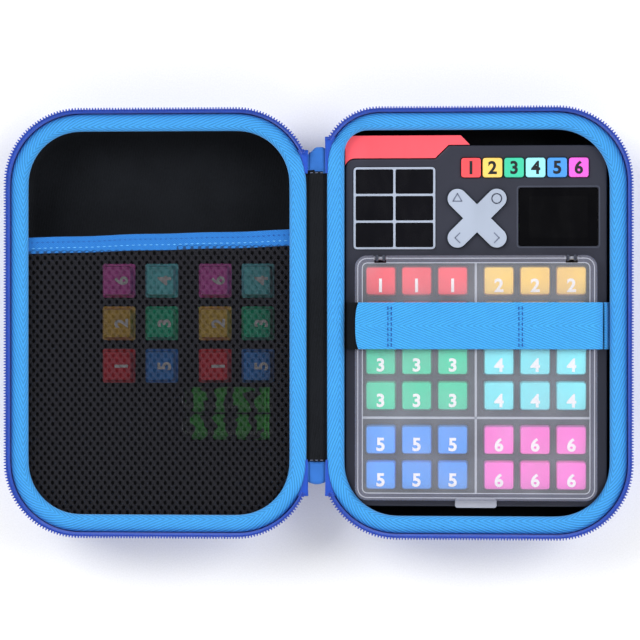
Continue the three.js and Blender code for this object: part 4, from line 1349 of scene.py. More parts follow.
        def ring(i: int) -> list[BMEdge]:
            run = begin + (end - begin) * i / steps
            spots = [(self.rim.point(run, out)[0], z) for out, z in section]
            verts = [blank.mesh.verts.new((p.x, p.y, z)) for p, z in spots]
            return [blank.mesh.edges.new(pair) for pair in zip(verts, [*verts[1:], verts[0]])]

        blank.skin([partial(ring, i) for i in range(steps + 1)])
        blank.fill_holes()
        blank.right_way_out()

    def build_zip_tape(self) -> None:
        """Tape of the zip, which stands up from under the binding and leans outwards."""
        top, rim, thin = self.tape_top, self.rim_height, 0.7
        seam = self.binding_bottom - 0.25
        section = [
            (-1.2, seam),
            (-1.2, seam + 0.15),
            (0.3, seam + 0.2),
            (0.3, rim),
            (self.out_at(top), top),
            (self.out_at(top) + thin, top),
            (0.3 + thin, rim),
            (0.3 + thin, seam),
        ]
        blank = Blank()
        self.along_zip(blank, section, 3.12)
        piece = blank.to_object(f"{self.side}_zip_tape_cloth", [ROYAL_TAPE], 50)
        settle(piece, self.side, "zip", f"{self.side}_zip_tape")

    def build_teeth(self) -> None:
        """Row of separate teeth on the tape's edge, over the cord that they are sewn to."""
        low, high = self.tooth_heights
        middle = (low + high) / 2
        tooth = bmesh.new()
        bmesh.ops.create_uvsphere(tooth, u_segments=8, v_segments=6, radius=0.5)
        bmesh.ops.scale(tooth, vec=(2.1, 0.92, high - low), verts=tooth.verts)
        template = bpy.data.meshes.new("tooth")
        tooth.to_mesh(template)
        tooth.free()
        blank = Blank()
        begin, end = self.zip_ends(3.12)
        count = int((end - begin) / self.tooth_pitch)
        for i in range(count + 1):
            run = begin + (end - begin) * i / count
            spot, angle = self.rim.point(run, self.out_at(middle) + 0.45)
            turn = Matrix.Rotation(angle, 4, "Z") @ Matrix.Rotation(math.radians(self.lean), 4, "Y")
            blank.stamp(template, Matrix.Translation((spot.x, spot.y, middle)) @ turn)
        cord = [(0.0, -0.55), (0.45, 0.0), (0.0, 0.55), (-0.45, 0.0)]
        out = self.out_at(middle)
        self.along_zip(blank, [(out + dx, low + 0.55 + dz) for dx, dz in cord], 3.12)
        piece = blank.to_object(f"{self.side}_zip_coil", [ROYAL_COIL], 60)
        settle(piece, self.side, "zip", f"{self.side}_zip_teeth")


@dataclass
class Spine:
    """Cloth hinge between the halves, with its lining and the two sliders under its ends."""

    top: float = 94.4
    bottom: float = -86.6
    cloth_heights: tuple[float, float] = (26.0, 27.2)
    lining_top: float = 81.3
    lining_bottom: float = -74.3
    lining_half: float = 3.6
    half_width: float = 5.2
    fold: float = 5.5

    def build(self, base: CaseHalf, lid: CaseHalf) -> None:
        """Makes the spine's pieces.

        Args:
            base: the base's half, for the tapes that end beside the spine.
            lid: the lid's half, likewise.
        """
        self.build_cloth()
        self.build_lining()
        for half in (base, lid):
            self.build_tape_tails(half)
        for node in ("zip_slider_top", "zip_slider_bottom"):
            piece = refined(node).to_object(f"{node}_casting", [SLIDER_BLUE])
            round_edges(piece, 0.3)
            settle(piece, "spine", "zip_slider", node)
        for end in ("top", "bottom"):
            piece = refined(f"zip_pull_{end}").to_object(f"zip_pull_{end}_casting", [SLIDER_BLUE])
            round_edges(piece, 0.15)
            settle(piece, f"pull_{end}", "zip_slider", f"zip_pull_{end}")

    def end_shape(self, x: float, y: float) -> float:
        """Shift of the cloth's two cut ends: a slant at the top and a bulge at the bottom."""
        if y > self.lining_top:
            slant = -5.0 * max(0.0, (-x - 0.5) / self.half_width) - 1.2 * max(0.0, (x - 3.4) / 2)
            return slant * (y - self.lining_top) / (self.top - self.lining_top)
        if y < self.lining_bottom:
            bulge = 1.6 * (x / self.half_width) ** 2
            return bulge * (self.lining_bottom - y) / (self.lining_bottom - self.bottom)
        return 0.0

    def strip(self, name: str, left: float, right: float, columns: int) -> bpy.types.Object:
        """Lengthwise strip of the spine's cloth between two places across it."""
        low, high = self.cloth_heights
        middle = (low + high) / 2

        def place(u: float, v: float) -> tuple[float, float, float]:
            x = left + (right - left) * v
            y = self.bottom + (self.top - self.bottom) * u
            crown = 0.25 * math.cos(math.pi * min(abs(x) / self.half_width, 1))
            return (x, y + self.end_shape(x, y), middle - 0.1 + crown * 0.5)

        blank = Blank()
        blank.cloth(90, columns, place)
        centres = {f: f.calc_center_median().y for f in blank.mesh.faces}
        blank.paint([f for f, y in centres.items() if self.lining_bottom < y < self.lining_top], 1)
        piece = blank.to_object(name, [SPINE_BLUE, LINING_BLACK], 60)
        thicken(piece, high - low - 0.3)
        return piece

    def build_cloth(self) -> None:
        """The cloth in three strips: its middle, and an edge that bends on each fold."""
        reach, bend = 0.55, 0.9
        length = (self.top - self.bottom) * MM
        middle = self.strip("spine_cloth_middle", -self.half_width + bend, self.half_width - bend, 8)
        settle(middle, "spine", "shell_cloth", "spine_cloth")
        cut = 2 * (self.fold + reach) * MM
        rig.sheet(
            middle,
            flat=(cut, length),
            held="stretched",
            rests_on=["base_binding_tape", "lid_binding_tape"],
            area=2 * (self.half_width - bend) * MM * length,
        )
        for sign, body in ((1, "base"), (-1, "lid")):
            inner, outer = sign * (self.half_width - bend), sign * (self.fold + reach)
            edge = self.strip(f"spine_cloth_{body}_edge", min(inner, outer), max(inner, outer), 4)
            bake_modifiers(edge)
            start, end = ((outer + 0.1 * sign) * MM, 0, 0), (inner * MM, 0, 0)
            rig.blend(edge, body, "spine", start=start, end=end)
            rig.slot(edge, "shell_cloth")

    def build_lining(self) -> None:
        """Black lining strip with a stitched line across each end."""
        z = self.cloth_heights[1] + 0.65

        def place(u: float, v: float) -> tuple[float, float, float]:
            y = self.lining_bottom + (self.lining_top - self.lining_bottom) * u
            x = self.lining_half * (2 * v - 1)
            return (x, y, z + 0.18 * math.sin(y / 7.0) * math.sin(y / 19.0))

        blank = Blank()
        blank.cloth(80, 6, place)
        piece = blank.to_object("spine_lining_knit", [LINING_BLACK], 60)
        thicken(piece, 0.6)
        settle(piece, "spine", "lining", "spine_lining")
        stitches = Blank()
        for y in (self.lining_top - 0.7, self.lining_bottom + 0.7):
            sew(stitches, [Vector((x, y, z + 0.4)) for x in (-self.lining_half, self.lining_half)], 1.8, 0.35)
        piece = stitches.to_object("spine_lining_stitches", [PALE_THREAD], 60)
        settle(piece, "spine", "lining")

    def build_tape_tails(self, half: CaseHalf) -> None:
        """Ends of the zip's tape, which run down beside the spine's cloth and narrow towards its lining."""
        sign, rim = half.half.value, half.rim
        begin, end = half.zip_ends(3.12)
        ends = ((self.lining_top - 1, begin + 3.0), (rim.length + self.lining_bottom + 1, end - 3.0))
        for place_name, (first, last) in zip(("top", "bottom"), ends):

            def place(u: float, v: float) -> tuple[float, float, float]:
                run = first + (last - first) * u
                near, _ = rim.point(run, -0.3)
                inner = 5.0 - 0.5 * u
                x = abs(near.x) + (inner - abs(near.x)) * v
                lift = 0.3 * math.sin(math.pi * v)
                return (sign * x, near.y, 27.55 + lift + 0.5 * u)

            blank = Blank()
            blank.cloth(16, 4, place)
            piece = blank.to_object(f"{half.side}_zip_tail_{place_name}", [ROYAL_TAPE], 60)
            thicken(piece, 0.6)
            bake_modifiers(piece)
            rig.blend(piece, half.side, "spine", start=(sign * 6.2 * MM, 0, 0), end=(sign * 4.4 * MM, 0, 0))
            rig.slot(piece, "zip")


def sew(
    blank: Blank, path: Sequence[Vector], length: float, thickness: float, gap: float = 0.9, slot: int = 0
) -> None:
    """Sews a row of stitches along a path.

    Args:
        blank: the mesh that the stitches are made in.
        path: points that the row follows.
        length: length of a stitch.
        thickness: its thickness.
        gap: distance between two stitches.
        slot: their material slot.
    """
    stitch = _stitch(length, thickness)
    reach, target = 0.0, length / 2
    for first, second in zip(path, path[1:]):
        step = second - first
        while target <= reach + step.length:
            spot = first + step * ((target - reach) / step.length)
            turn = step.to_track_quat("X", "Z").to_matrix().to_4x4()
            blank.stamp(stitch, Matrix.Translation(spot) @ turn, slot)
            target += length + gap
        reach += step.length


@lru_cache(maxsize=None)
def _stitch(length: float, thickness: float) -> bpy.types.Mesh:
    """One stitch along X: a thread that rises out of the cloth and goes back in."""
    shape = bmesh.new()
    bmesh.ops.create_uvsphere(shape, u_segments=6, v_segments=6, radius=0.5)
    bmesh.ops.rotate(shape, verts=shape.verts, matrix=Matrix.Rotation(math.pi / 2, 3, "Y"))
    bmesh.ops.scale(shape, vec=(length, thickness, thickness), verts=shape.verts)
    data = bpy.data.meshes.new("stitch")
    shape.to_mesh(data)
    shape.free()
    return data


# ---------------------------------------------------------------- the lid's pocket


@dataclass
class Pocket:
    """Mesh pocket across the lid, with a webbing hem, over loose tiles and cells."""

    inset: float = 7.5
    edge_height: float = 23.8
    sag: float = 3.2
    hem_height: float = 8.9
    hem_thickness: float = 1.7
    hem_outer: float = 46.3
    hem_spine: float = 50.3
    cell_width: float = 4.1
    cell_pitch: float = 2.65
    thread: float = 0.42
    hole_squeeze: float = 0.5
    net_thickness: float = 0.3
    rim: Rim = field(default_factory=lambda: Rim(Half.LID))

    def build(self) -> None:
        """Makes the net, its hem and what lies in the pocket."""
        self.build_net()
        self.build_hem()
        pairs = ((Number.FOUR, Number.SIX), (Number.THREE, Number.TWO), (Number.FIVE, Number.ONE))
        numbers = [number for pair in pairs for number in pair * 2]
        for i, number in enumerate(numbers):
            node = f"pocket_tile_{i // 4 + 1}_{i % 4 + 1}"
            low, _ = node_box(node)
            middle, _ = footprint(node)
            blank = Blank()
            turn = Matrix.Translation((*middle, low.z)) @ Matrix.Rotation(math.pi / 2, 4, "Z")
            TILE.add_to(blank, number, turn, loose=True)
            piece = blank.to_object(f"{node}_moulding", TILE.finishes(number))
            settle(piece, "lid", f"tile_{number.shade}", node)
        for i in (1, 2):
            add_cell(f"spare_cell_{i}", "lid")

    def bounds(self) -> tuple[float, float]:
        """Outer and spine-side edge of the pocket across the lid."""
        return -(self.rim.right - self.inset), -(self.rim.left + self.inset)

    def hem_top(self, x: float) -> float:
        """Height along the spine of the hem's upper edge."""
        left, right = self.bounds()
        u = (x - left) / (right - left)
        return self.hem_outer + (self.hem_spine - self.hem_outer) * u

    def net_height(self, x: float, y: float) -> float:
        """Height of the sagging net."""
        left, right = self.bounds()
        bottom = -self.rim.end + self.inset
        u = min(max((x - left) / (right - left), 0), 1)
        r = min(max((y - bottom) / (self.hem_top(x) - self.hem_height - bottom), 0), 1)
        return self.edge_height - self.sag * (1 - (2 * u - 1) ** 4) * math.sin(min(2 * r, 1) * math.pi / 2)

    def inside(self, x: float, y: float, margin: float) -> bool:
        """Whether a point is inside the pocket's outline set in by a margin."""
        inset = self.inset + margin
        radius = self.rim.radii[0] - inset
        left, right = self.rim.left + inset, self.rim.right - inset
        bottom = -self.rim.end + inset
        x_base = -x
        if not (left < x_base < right and bottom < y < self.hem_top(x) - self.hem_height + 0.9):
            return False
        for cx in (left + radius, right - radius):
            beyond = (x_base - cx) * (1 if cx > (left + right) / 2 else -1)
            if beyond > 0 and y < bottom + radius and math.hypot(beyond, y - bottom - radius) > radius:
                return False
        return True

    def build_net(self) -> None:
        """Net of six-sided cells whose holes are taller than wide."""
        blank = Blank()
        mesh = blank.mesh
        left, right = self.bounds()
        bottom, top = -self.rim.end + self.inset, self.hem_spine
        width, pitch = self.cell_width, self.cell_pitch
        bmesh.ops.create_circle(mesh, cap_ends=True, segments=6, radius=1.0)
        height = pitch * 4 / 3
        bmesh.ops.scale(mesh, vec=(width / math.sqrt(3), height / 2, 1), verts=mesh.verts)
        columns, rows = int((right - left) / width) + 2, int((top - bottom) / pitch) + 2
        self.repeat(blank, Vector((width, 0, 0)), columns)
        pair = bmesh.ops.duplicate(mesh, geom=[*mesh.verts, *mesh.edges, *mesh.faces])["geom"]
        bmesh.ops.translate(mesh, vec=(width / 2, pitch, 0), verts=[g for g in pair if isinstance(g, BMVert)])
        self.repeat(blank, Vector((0, 2 * pitch, 0)), rows // 2 + 1)
        bmesh.ops.remove_doubles(mesh, verts=mesh.verts, dist=0.05)
        bmesh.ops.translate(mesh, vec=(left, bottom, 0), verts=mesh.verts)
        outside = [f for f in mesh.faces if not self.inside(*f.calc_center_median().xy, -0.3)]
        bmesh.ops.delete(mesh, geom=outside, context="FACES")
        cells = list(mesh.faces)
        for face in cells:
            for loop in face.loops:
                loop[blank.weave].uv = loop.vert.co.xy
        bmesh.ops.inset_individual(mesh, faces=cells, thickness=self.thread, use_even_offset=True)
        for cell in cells:
            centre = cell.calc_center_median()
            bmesh.ops.scale(
                mesh, vec=(self.hole_squeeze, 1, 1), space=Matrix.Translation(-centre), verts=cell.verts
            )
            # the holes take the dark film of painted shadow
            cell.material_index = 1
        area = sum(f.calc_area() for f in mesh.faces) * MM**2
        for vert in mesh.verts:
            vert.co.z = self.net_height(vert.co.x, vert.co.y) - self.net_thickness
        bmesh.ops.translate(mesh, vec=(0, 0, -0.35), verts=list({v for c in cells for v in c.verts}))
        piece = blank.to_object("pocket_net", [NET_THREAD, NET_HOLE_SHADOW], 70)
        thicken(piece, self.net_thickness)
        settle(piece, "lid", "mesh", "mesh_pocket")
        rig.sheet(
            piece,
            flat=((right - left + 2) * MM, (top - bottom) * MM),
            held="stretched",
            rests_on=["lid_shell_cloth"],
            area=area,
            with_pieces=[],
        )

    def repeat(self, blank: Blank, step: Vector, count: int) -> None:
        """Repeats the whole mesh along a step until there are at least count of it."""
        made = 1
        while made < count:
            twin = bmesh.ops.duplicate(
                blank.mesh, geom=[*blank.mesh.verts, *blank.mesh.edges, *blank.mesh.faces]
            )["geom"]
            bmesh.ops.translate(blank.mesh, vec=step * made, verts=[g for g in twin if isinstance(g, BMVert)])
            made *= 2

    def build_hem(self) -> None:
        """Folded webbing along the pocket's mouth, with two rows of stitches."""
        left, right = self.bounds()

        def place(u: float, v: float) -> tuple[float, float, float]:
            x = left + (right - left) * u
            y = self.hem_top(x) - self.hem_height * (1 - v)
            sag = self.sag * (1 - (2 * u - 1) ** 4)
            ripple = 0.25 * math.sin(x / 9.0) * math.sin(x / 23.0)
            return (
                x, y + ripple, self.edge_height - self.hem_thickness / 2 - sag - 0.25 * abs(2 * v - 1) ** 4
            )

        blank = Blank()
        blank.cloth(64, 6, place)
        piece = blank.to_object("pocket_hem_tape", [AZURE_HEM], 60)
        thicken(piece, self.hem_thickness - 0.5)
        round_edges(piece, 0.35)
        settle(piece, "lid", "webbing", "pocket_hem")
        threads = Blank()
        for share, slot in ((0.68, 0), (0.33, 1)):
            path = []
            for i in range(65):
                x, y, z = place(i / 64, share)
                path.append(Vector((x, y, z + self.hem_thickness / 2 - 0.22)))
            sew(threads, path, 1.7 if slot else 1.3, 0.5, 1.5, slot)
        stitches = threads.to_object("pocket_hem_stitches", [DARK_THREAD, LIGHT_THREAD], 60)
        settle(stitches, "lid", "webbing")


@dataclass
class Tile:
    """Removable number tile: a tapered block whose front face slopes, on a flange."""

    flange_width: float = 18.6
    flange_depth: float = 18.0
    flange: float = 1.6
    width: float = 16.4
    depth: float = 16.0
    top_width: float = 15.2
    top_back: float = 7.0
    top_front: float = 7.4
    ridge: float = 2.3
    height: float = 11.4
    drop: float = 1.8
    digit_height: float = 7.4
    corner: float = 1.5

    def finishes(self, number: Number) -> list[Finish]:
        """Body and digit."""
        body = MouldedPlastic(f"tile_{number.name.lower()}", number.tile_colour, 0.38, depth=0.012)
        return [body, WHITE_INK]

    def add_to(self, blank: Blank, number: Number, matrix: Matrix, loose: bool) -> None:
        """Adds one tile to a mesh.

        Args:
            blank: the mesh.
            number: its number.
            matrix: where its foot's middle goes.
            loose: whether it stands on its own flange.
        """
        blank.stamp(self.body(loose), matrix)
        front = self.ridge + self.top_front
        slope = math.atan2(self.drop, front)
        middle = Vector((0, self.ridge - front / 2, self.height - self.drop / 2 + 0.04))
        place = Matrix.Translation(middle) @ Matrix.Rotation(slope, 4, "X")
        blank.stamp(character(number.digit, self.digit_height, 0.3, 0.3), matrix @ place, 1)

    @lru_cache(maxsize=None)
    def body(self, loose: bool) -> bpy.types.Mesh:
        """The tile's block, standing at the origin, with or without its own flange."""
        blank = Blank()
        mesh = blank.mesh
        if loose:
            blank.slab((0, 0), (self.flange_width, self.flange_depth), (0, self.flange), 1.2, 0.3, 4)
        seat = self.flange / 2
        base = blank.plate((0, 0), (self.width, self.depth), seat, self.corner, 4)
        top = blank.raise_face(base, self.height - seat)
        middle = (self.top_back - self.top_front) / 2
        squeeze = Vector((self.top_width / self.width, (self.top_back + self.top_front) / self.depth, 1))
        verts = list(top.verts)
        bmesh.ops.scale(mesh, vec=squeeze, verts=verts)
        bmesh.ops.translate(mesh, vec=(0, middle, 0), verts=verts)
        blank.soften(list(top.edges), 0.45, 2)
        whole = [*mesh.faces, *mesh.edges, *mesh.verts]
        bmesh.ops.bisect_plane(mesh, geom=whole, dist=1e-5, plane_co=(0, self.ridge, 0), plane_no=(0, 1, 0))
        front = self.ridge + self.top_front
        for vert in mesh.verts:
            if vert.co.z > self.height - 0.6 and vert.co.y < self.ridge:
                vert.co.z -= self.drop * (self.ridge - vert.co.y) / front
        blank.right_way_out()
        data = bpy.data.meshes.new("tile_body")
        mesh.to_mesh(data)
        mesh.free()
        data.attributes.remove(data.attributes["across"])
        return data

    def __hash__(self) -> int:
        """Hash of the sizes, for the cache of bodies."""
        return hash((self.width, self.depth, self.height, self.drop))


TILE = Tile()


def add_cell(node: str, body: str) -> None:
    """Makes a round cell in place of a frame node: a printed sleeve over a can whose two ends are bare.

    Args:
        node: the frame's cell.
        body: the body that it lies on.
    """
    low, high = node_box(node)
    radius, nub = (high.z - low.z) / 2, 2.75
    length = high.x - low.x
    start = Vector((high.x, (low.y + high.y) / 2, (low.z + high.z) / 2))
    blank = Blank()
    sleeve = [
        (0.35, 4.6),
        (0.05, 5.4),
        (0.0, radius - 0.6),
        (0.45, radius),
        (length - 1.9, radius),
        (length - 1.35, radius - 0.5),
        (length - 1.3, nub + 1.6),
        (length - 1.6, nub + 1.2),
    ]
    blank.lathe(sleeve, start, Vector((-1, 0, 0)))
    blank.right_way_out()
    printed = len(blank.mesh.faces)
    can = [
        (0.4, 0.0),
        (0.25, 4.2),
        (0.6, 5.0),
        (length - 1.8, 5.0),
        (length - 1.7, nub),
        (length - 0.4, nub),
        (length, nub - 0.5),
        (length, 0.0),
    ]
    blank.lathe(can, start, Vector((-1, 0, 0)), 24)
    bmesh.ops.remove_doubles(blank.mesh, verts=blank.mesh.verts, dist=0.001)
    blank.mesh.faces.ensure_lookup_table()
    blank.paint(blank.mesh.faces[printed:], 1)
    blank.right_way_out()
    piece = blank.to_object(
        f"{node}_can", [PrintedSleeve(f"{node}_sleeve", SLEEVE_GREEN, 0.3, flat_end=high.x), CELL_METAL]
    )
    settle(piece, body, "cell", node)


# ---------------------------------------------------------------- the console


@dataclass
class Console:
    """Electronic console: housings, panes, pad, screen, six keys, red button and tile well."""

    centre: tuple[float, float] = (85.2, -1.6)
    half_width: float = 70.1
    half_length: float = 96.8
    corner_top: float = 10.0
    corner_bottom: float = 12.0
    step: float = 89.7
    step_start: float = -21.5
    step_end: float = -14.3
    step_corner: float = 5.3
    split: float = 14.3
    wall: float = 2.4
    deck_thickness: float = 2.0
    key_first: float = -2.55
    key_pitch: float = 11.5
    key_y: float = 84.8
    key_size: float = 10.5
    pad: tuple[float, float] = (0.7, 57.7)
    pad_reach: float = 10.5
    pad_arm: float = 10.5
    grid_line: float = 1.15
    running_gap: float = 0.4

    @property
    def deck(self) -> float:
        """Height of the deck."""
        return node_box("tile_tray")[1].z + 2.1

    def spot(self, x: float, y: float) -> tuple[float, float]:
        """Place in the frame of a point measured from the console's middle."""
        return (self.centre[0] + x, self.centre[1] + y)

    def housing(self, blank: Blank, z: float, inset: float = 0.0) -> BMFace:
        """Outline of the housing, which leaves a corner free for the red button."""
        w, l = self.half_width - inset, self.half_length - inset
        step = self.step - inset
        slant = inset / 2
        corners = [
            (-w, -l), (w, -l), (w, l), (self.step_end + slant, l), (self.step_start + slant, step), (-w, step)
        ]
        bottom, top = self.corner_bottom - inset, self.corner_top - inset
        radii = [bottom, bottom, top, 1.0, 1.0, self.step_corner]
        return blank.outline([self.spot(*c) for c in corners], z, radii, 8)

    def build(self) -> None:
        """Makes every piece of the console."""
        self.build_bottom()
        self.build_top()
        self.build_button()
        self.build_grid()
        self.build_screen()
        self.build_pad()
        self.build_keys()
        self.build_inside()
        TileWell(self.deck).build()

    def build_bottom(self) -> None:
        """Lower housing: a tub with a door for the cells and feet."""
        low, _ = node_box("console_bottom")
        blank = Blank()
        foot = self.housing(blank, low.z)
        blank.raise_face(foot, self.split - 0.3 - low.z)
        lower = [e for e in blank.mesh.edges if all(abs(v.co.z - low.z) < 0.01 for v in e.verts)]
        blank.soften(lower, 4.0, 5)
        blank.right_way_out()
        piece = blank.to_object("console_lower_housing", [CHARCOAL])
        hollow = Blank()
        hollow.raise_face(self.housing(hollow, low.z + 2.0, self.wall), 20)
        carve(piece, hollow)
        opening = Blank()
        gap = 0.3
        middle, door = footprint("battery_door")
        size = (door[0] + 2 * gap, door[1] + 2 * gap)
        opening.slab(middle, size, (low.z - 2, low.z + 6), 2.0)
        carve(piece, opening)
        settle(piece, "base", "housing", "console_bottom")
        self.build_door(middle, size, low.z)
        feet = Blank()
        for x in (-54, 54):
            for y in (-82, 78):
                feet.slab(self.spot(x, y), (13, 8), (low.z - 0.25, low.z + 0.4), 3.9)
        feet.right_way_out()
        settle(feet.to_object("console_feet", [TRAY_GREY]), "base", "housing")

    def build_door(self, middle: tuple[float, float], size: tuple[float, float], z: float) -> None:
        """Sliding door over the cells, with five grip ribs."""
        blank = Blank()
        blank.slab(middle, (size[0] - 0.6, size[1] - 0.6), (z, z + 2.0), 1.8)
        lower = [e for e in blank.mesh.edges if all(abs(v.co.z - z) < 0.01 for v in e.verts)]
        blank.soften(lower, 0.5, 2)
        for i in range(5):
            blank.slab(
                (middle[0] - size[0] / 2 + 6 + 2.2 * i, middle[1]),
                (1.1, 12),
                (z - 0.25, z + 0.5),
                0.5,
                0.0,
                3,
            )
        blank.right_way_out()
        settle(blank.to_object("battery_door_panel", [CHARCOAL]), "base", "housing", "battery_door")

    def build_top(self) -> None:
        """Upper housing with its windows and the ears of the cover's hinge."""
        deck = self.deck
        blank = Blank()
        top = blank.raise_face(self.housing(blank, self.split), deck - self.split)
        blank.soften(list(top.edges), 2.5, 5)
        blank.right_way_out()
        piece = blank.to_object("console_upper_housing", [CHARCOAL])
        hollow = Blank()
        hollow.raise_face(
            self.housing(hollow, self.split - 3, self.wall), deck - self.deck_thickness - self.split + 3
        )
        carve(piece, hollow)
        windows = Blank()
        gap = 0.3
        for node, radius in (("tile_tray", 0.0), ("grid_panel", 2.3), ("screen_lens", 1.3)):
            middle, size = footprint(node)
            windows.slab(middle, (size[0] + 2 * gap, size[1] + 2 * gap), (self.split - 5, deck + 5), radius)
        for i in range(6):
            size = self.key_size + 2 * self.running_gap
            windows.slab(
                self.spot(self.key_first + i * self.key_pitch, self.key_y),
                (size, size),
                (self.split - 5, deck + 5),
                1.7,
            )
        carve(piece, windows)
        for turn in (45, -45):
            cross = Blank()
            self.pad_bar(cross, turn, 0.45, self.split - 5, deck + 5)
            carve(piece, cross)
        settle(piece, "base", "housing", "console_top")
        self.build_trim(deck)

    def build_trim(self, deck: float) -> None:
        """Ears of the cover's hinge, and raised lines round the tile well and the screen, in a lighter grey that paints
        a highlight along these edges.
        """
        blank = Blank()
        y = node_box("tile_cover")[1].y - 1.5
        for side in (-51, 51):
            x = self.centre[0] + side
            for offset in (-1.9, 1.9):
                ear = blank.slab((x + offset, y), (1.6, 3.4), (deck - 1, deck + 3.8), 0.5)
                blank.soften(list(ear.edges), 0.7, 3)
        for box in self.frames():
            self.frame(blank, box, deck)
        blank.right_way_out()
        # the trim's lighter grey is a painted highlight on real raised lines and ears
        piece = blank.to_object("console_deck_trim", [EDGE_HIGHLIGHT_GREY])
        settle(piece, "base", "housing")

    def frames(self) -> list[tuple[float, float, float, float]]:
        """Left, right, bottom and top of the raised lines on the deck."""
        tray = node_box("tile_tray")
        lens = node_box("screen_lens")
        return [
            (tray[0].x - 1.2, tray[1].x + 1.2, tray[0].y - 1.2, tray[1].y + 1.2),
            (lens[0].x - 1.3, lens[1].x + 1.3, lens[0].y - 1.3, lens[1].y + 1.3),
        ]

    def frame(self, blank: Blank, box: tuple[float, float, float, float], deck: float) -> None:
        """Low raised line round a window."""
        x0, x1, y0, y1 = box
        face = blank.plate(((x0 + x1) / 2, (y0 + y1) / 2), (x1 - x0, y1 - y0), deck - 0.3, 1.8)
        ring = bmesh.ops.inset_region(
            blank.mesh, faces=[face], thickness=0.7, use_even_offset=True, use_boundary=True
        )["faces"]
        bmesh.ops.delete(blank.mesh, geom=[face], context="FACES_ONLY")
        made = bmesh.ops.extrude_face_region(blank.mesh, geom=ring, use_keep_orig=True)["geom"]
        bmesh.ops.translate(blank.mesh, vec=(0, 0, 0.48), verts=[g for g in made if isinstance(g, BMVert)])

    def build_button(self) -> None:
        """Long red button that wraps round the free corner."""
        piece = refined("red_button").to_object("red_button_cap", [CORAL], 50)
        round_edges(piece, 1.2, 4, 50)
        settle(piece, "red_button", "coral_plastic", "red_button")

    def build_grid(self) -> None:
        """Two by three dark panes in a pale frame."""
        low, high = node_box("grid_panel")
        middle, size = footprint("grid_panel")
        blank = Blank()
        blank.slab(middle, size, (low.z, high.z), 2.0, 0.3)
        blank.right_way_out()
        piece = blank.to_object("grid_frame", [PALE_GREY])
        line = self.grid_line
        width, height = (size[0] - 3 * line) / 2, (size[1] - 4 * line) / 3
        holes, panes = Blank(), Blank()
        for column in (-0.5, 0.5):
            for row in (-1, 0, 1):
                spot = (middle[0] + column * (width + line), middle[1] + row * (height + line))
                holes.slab(spot, (width, height), (high.z - 1.2, high.z + 1), 0.9)
                panes.slab(spot, (width - 0.1, height - 0.1), (high.z - 1.1, high.z - 0.55), 0.85, 0.25)
        carve(piece, holes)
        settle(piece, "base", "light_plastic", "grid_panel")
        panes.right_way_out()
        settle(panes.to_object("grid_panes", [PANE_BLACK]), "base", "screen")

    def build_screen(self) -> None:
        """Glossy window with a thin bezel."""
        low, high = node_box("screen_lens")
        middle, size = footprint("screen_lens")
        blank = Blank()
        blank.slab(middle, size, (low.z, high.z), 1.2, 0.25)
        blank.right_way_out()
        settle(blank.to_object("screen_window", [SCREEN_BLACK]), "base", "screen", "screen_lens")
        glass = Blank()
        glass.slab(middle, (size[0] - 10.5, size[1] - 8.5), (high.z - 0.2, high.z + 0.06), 0.6)
        glass.right_way_out()
        settle(glass.to_object("screen_display", [DISPLAY_GREY]), "base", "screen")

    def pad_bar(
        self, blank: Blank, turn: float, grow: float, z0: float, z1: float, edge: float = 0.0
    ) -> None:
        """One bar of the cross-shaped pad, with round ends."""
        length = 2 * self.pad_reach * math.sqrt(2) + self.pad_arm + 2 * grow
        width = self.pad_arm + 2 * grow
        before = len(blank.mesh.verts)
        blank.slab((0, 0), (length, width), (z0, z1), width / 2 - 0.01, edge, 12)
        blank.mesh.verts.ensure_lookup_table()
        verts = list(blank.mesh.verts)[before:] if before else list(blank.mesh.verts)
        x, y = self.spot(*self.pad)
        matrix = Matrix.Translation((x, y, 0)) @ Matrix.Rotation(math.radians(turn), 4, "Z")
        bmesh.ops.transform(blank.mesh, matrix=matrix, verts=verts)

    def build_pad(self) -> None:
        """Cross-shaped pad with an icon at the end of each arm."""
        low, high = node_box("x_pad")
        blank = Blank()
        self.pad_bar(blank, 45, 0, low.z, high.z)
        blank.right_way_out()
        piece = blank.to_object("x_pad_cap", [PALE_GREY], 50)
        other = Blank()
        self.pad_bar(other, -45, 0, low.z, high.z)
        other.right_way_out()
        tool = other.to_object("x_pad_other_bar", [PALE_GREY])
        merge = piece.modifiers.new("merge", "BOOLEAN")
        merge.operation, merge.solver, merge.object = "UNION", "EXACT", tool
        bake_modifiers(piece)
        bpy.data.objects.remove(tool)
        piece.data.shade_smooth()
        piece.data.set_sharp_from_angle(angle=math.radians(40))
        round_edges(piece, 0.9, 4, 50)
        settle(piece, "x_pad", "light_plastic", "x_pad")
        icons = Blank()
        x, y = self.spot(*self.pad)
        reach, z = self.pad_reach, high.z + 0.02
        self.icon_ring(icons, (x - reach, y + reach), 2.75, 3, z, 90)
        self.icon_ring(icons, (x + reach, y + reach), 2.6, 28, z, 0)
        for side in (-1, 1):
            tip, wing = (x + side * (reach + 1.3), y - reach), (x + side * (reach - 1.3), 2.6)
            for way in (-1, 1):
                self.icon_line(icons, tip, (wing[0], y - reach + way * wing[1]), z)
        icons.right_way_out()
        settle(icons.to_object("x_pad_icons", [ICON_INK]), "x_pad", "light_plastic")

    def icon_ring(
        self, blank: Blank, centre: tuple[float, float], radius: float, sides: int, z: float, turn: float
    ) -> None:
        """Thin raised outline with equal sides, of separate strokes."""
        turns = [math.radians(turn + 360 * i / sides) for i in range(sides)]
        corners = [(centre[0] + radius * math.cos(t), centre[1] + radius * math.sin(t)) for t in turns]
        for first, second in zip(corners, [*corners[1:], corners[0]]):
            self.icon_line(blank, first, second, z)

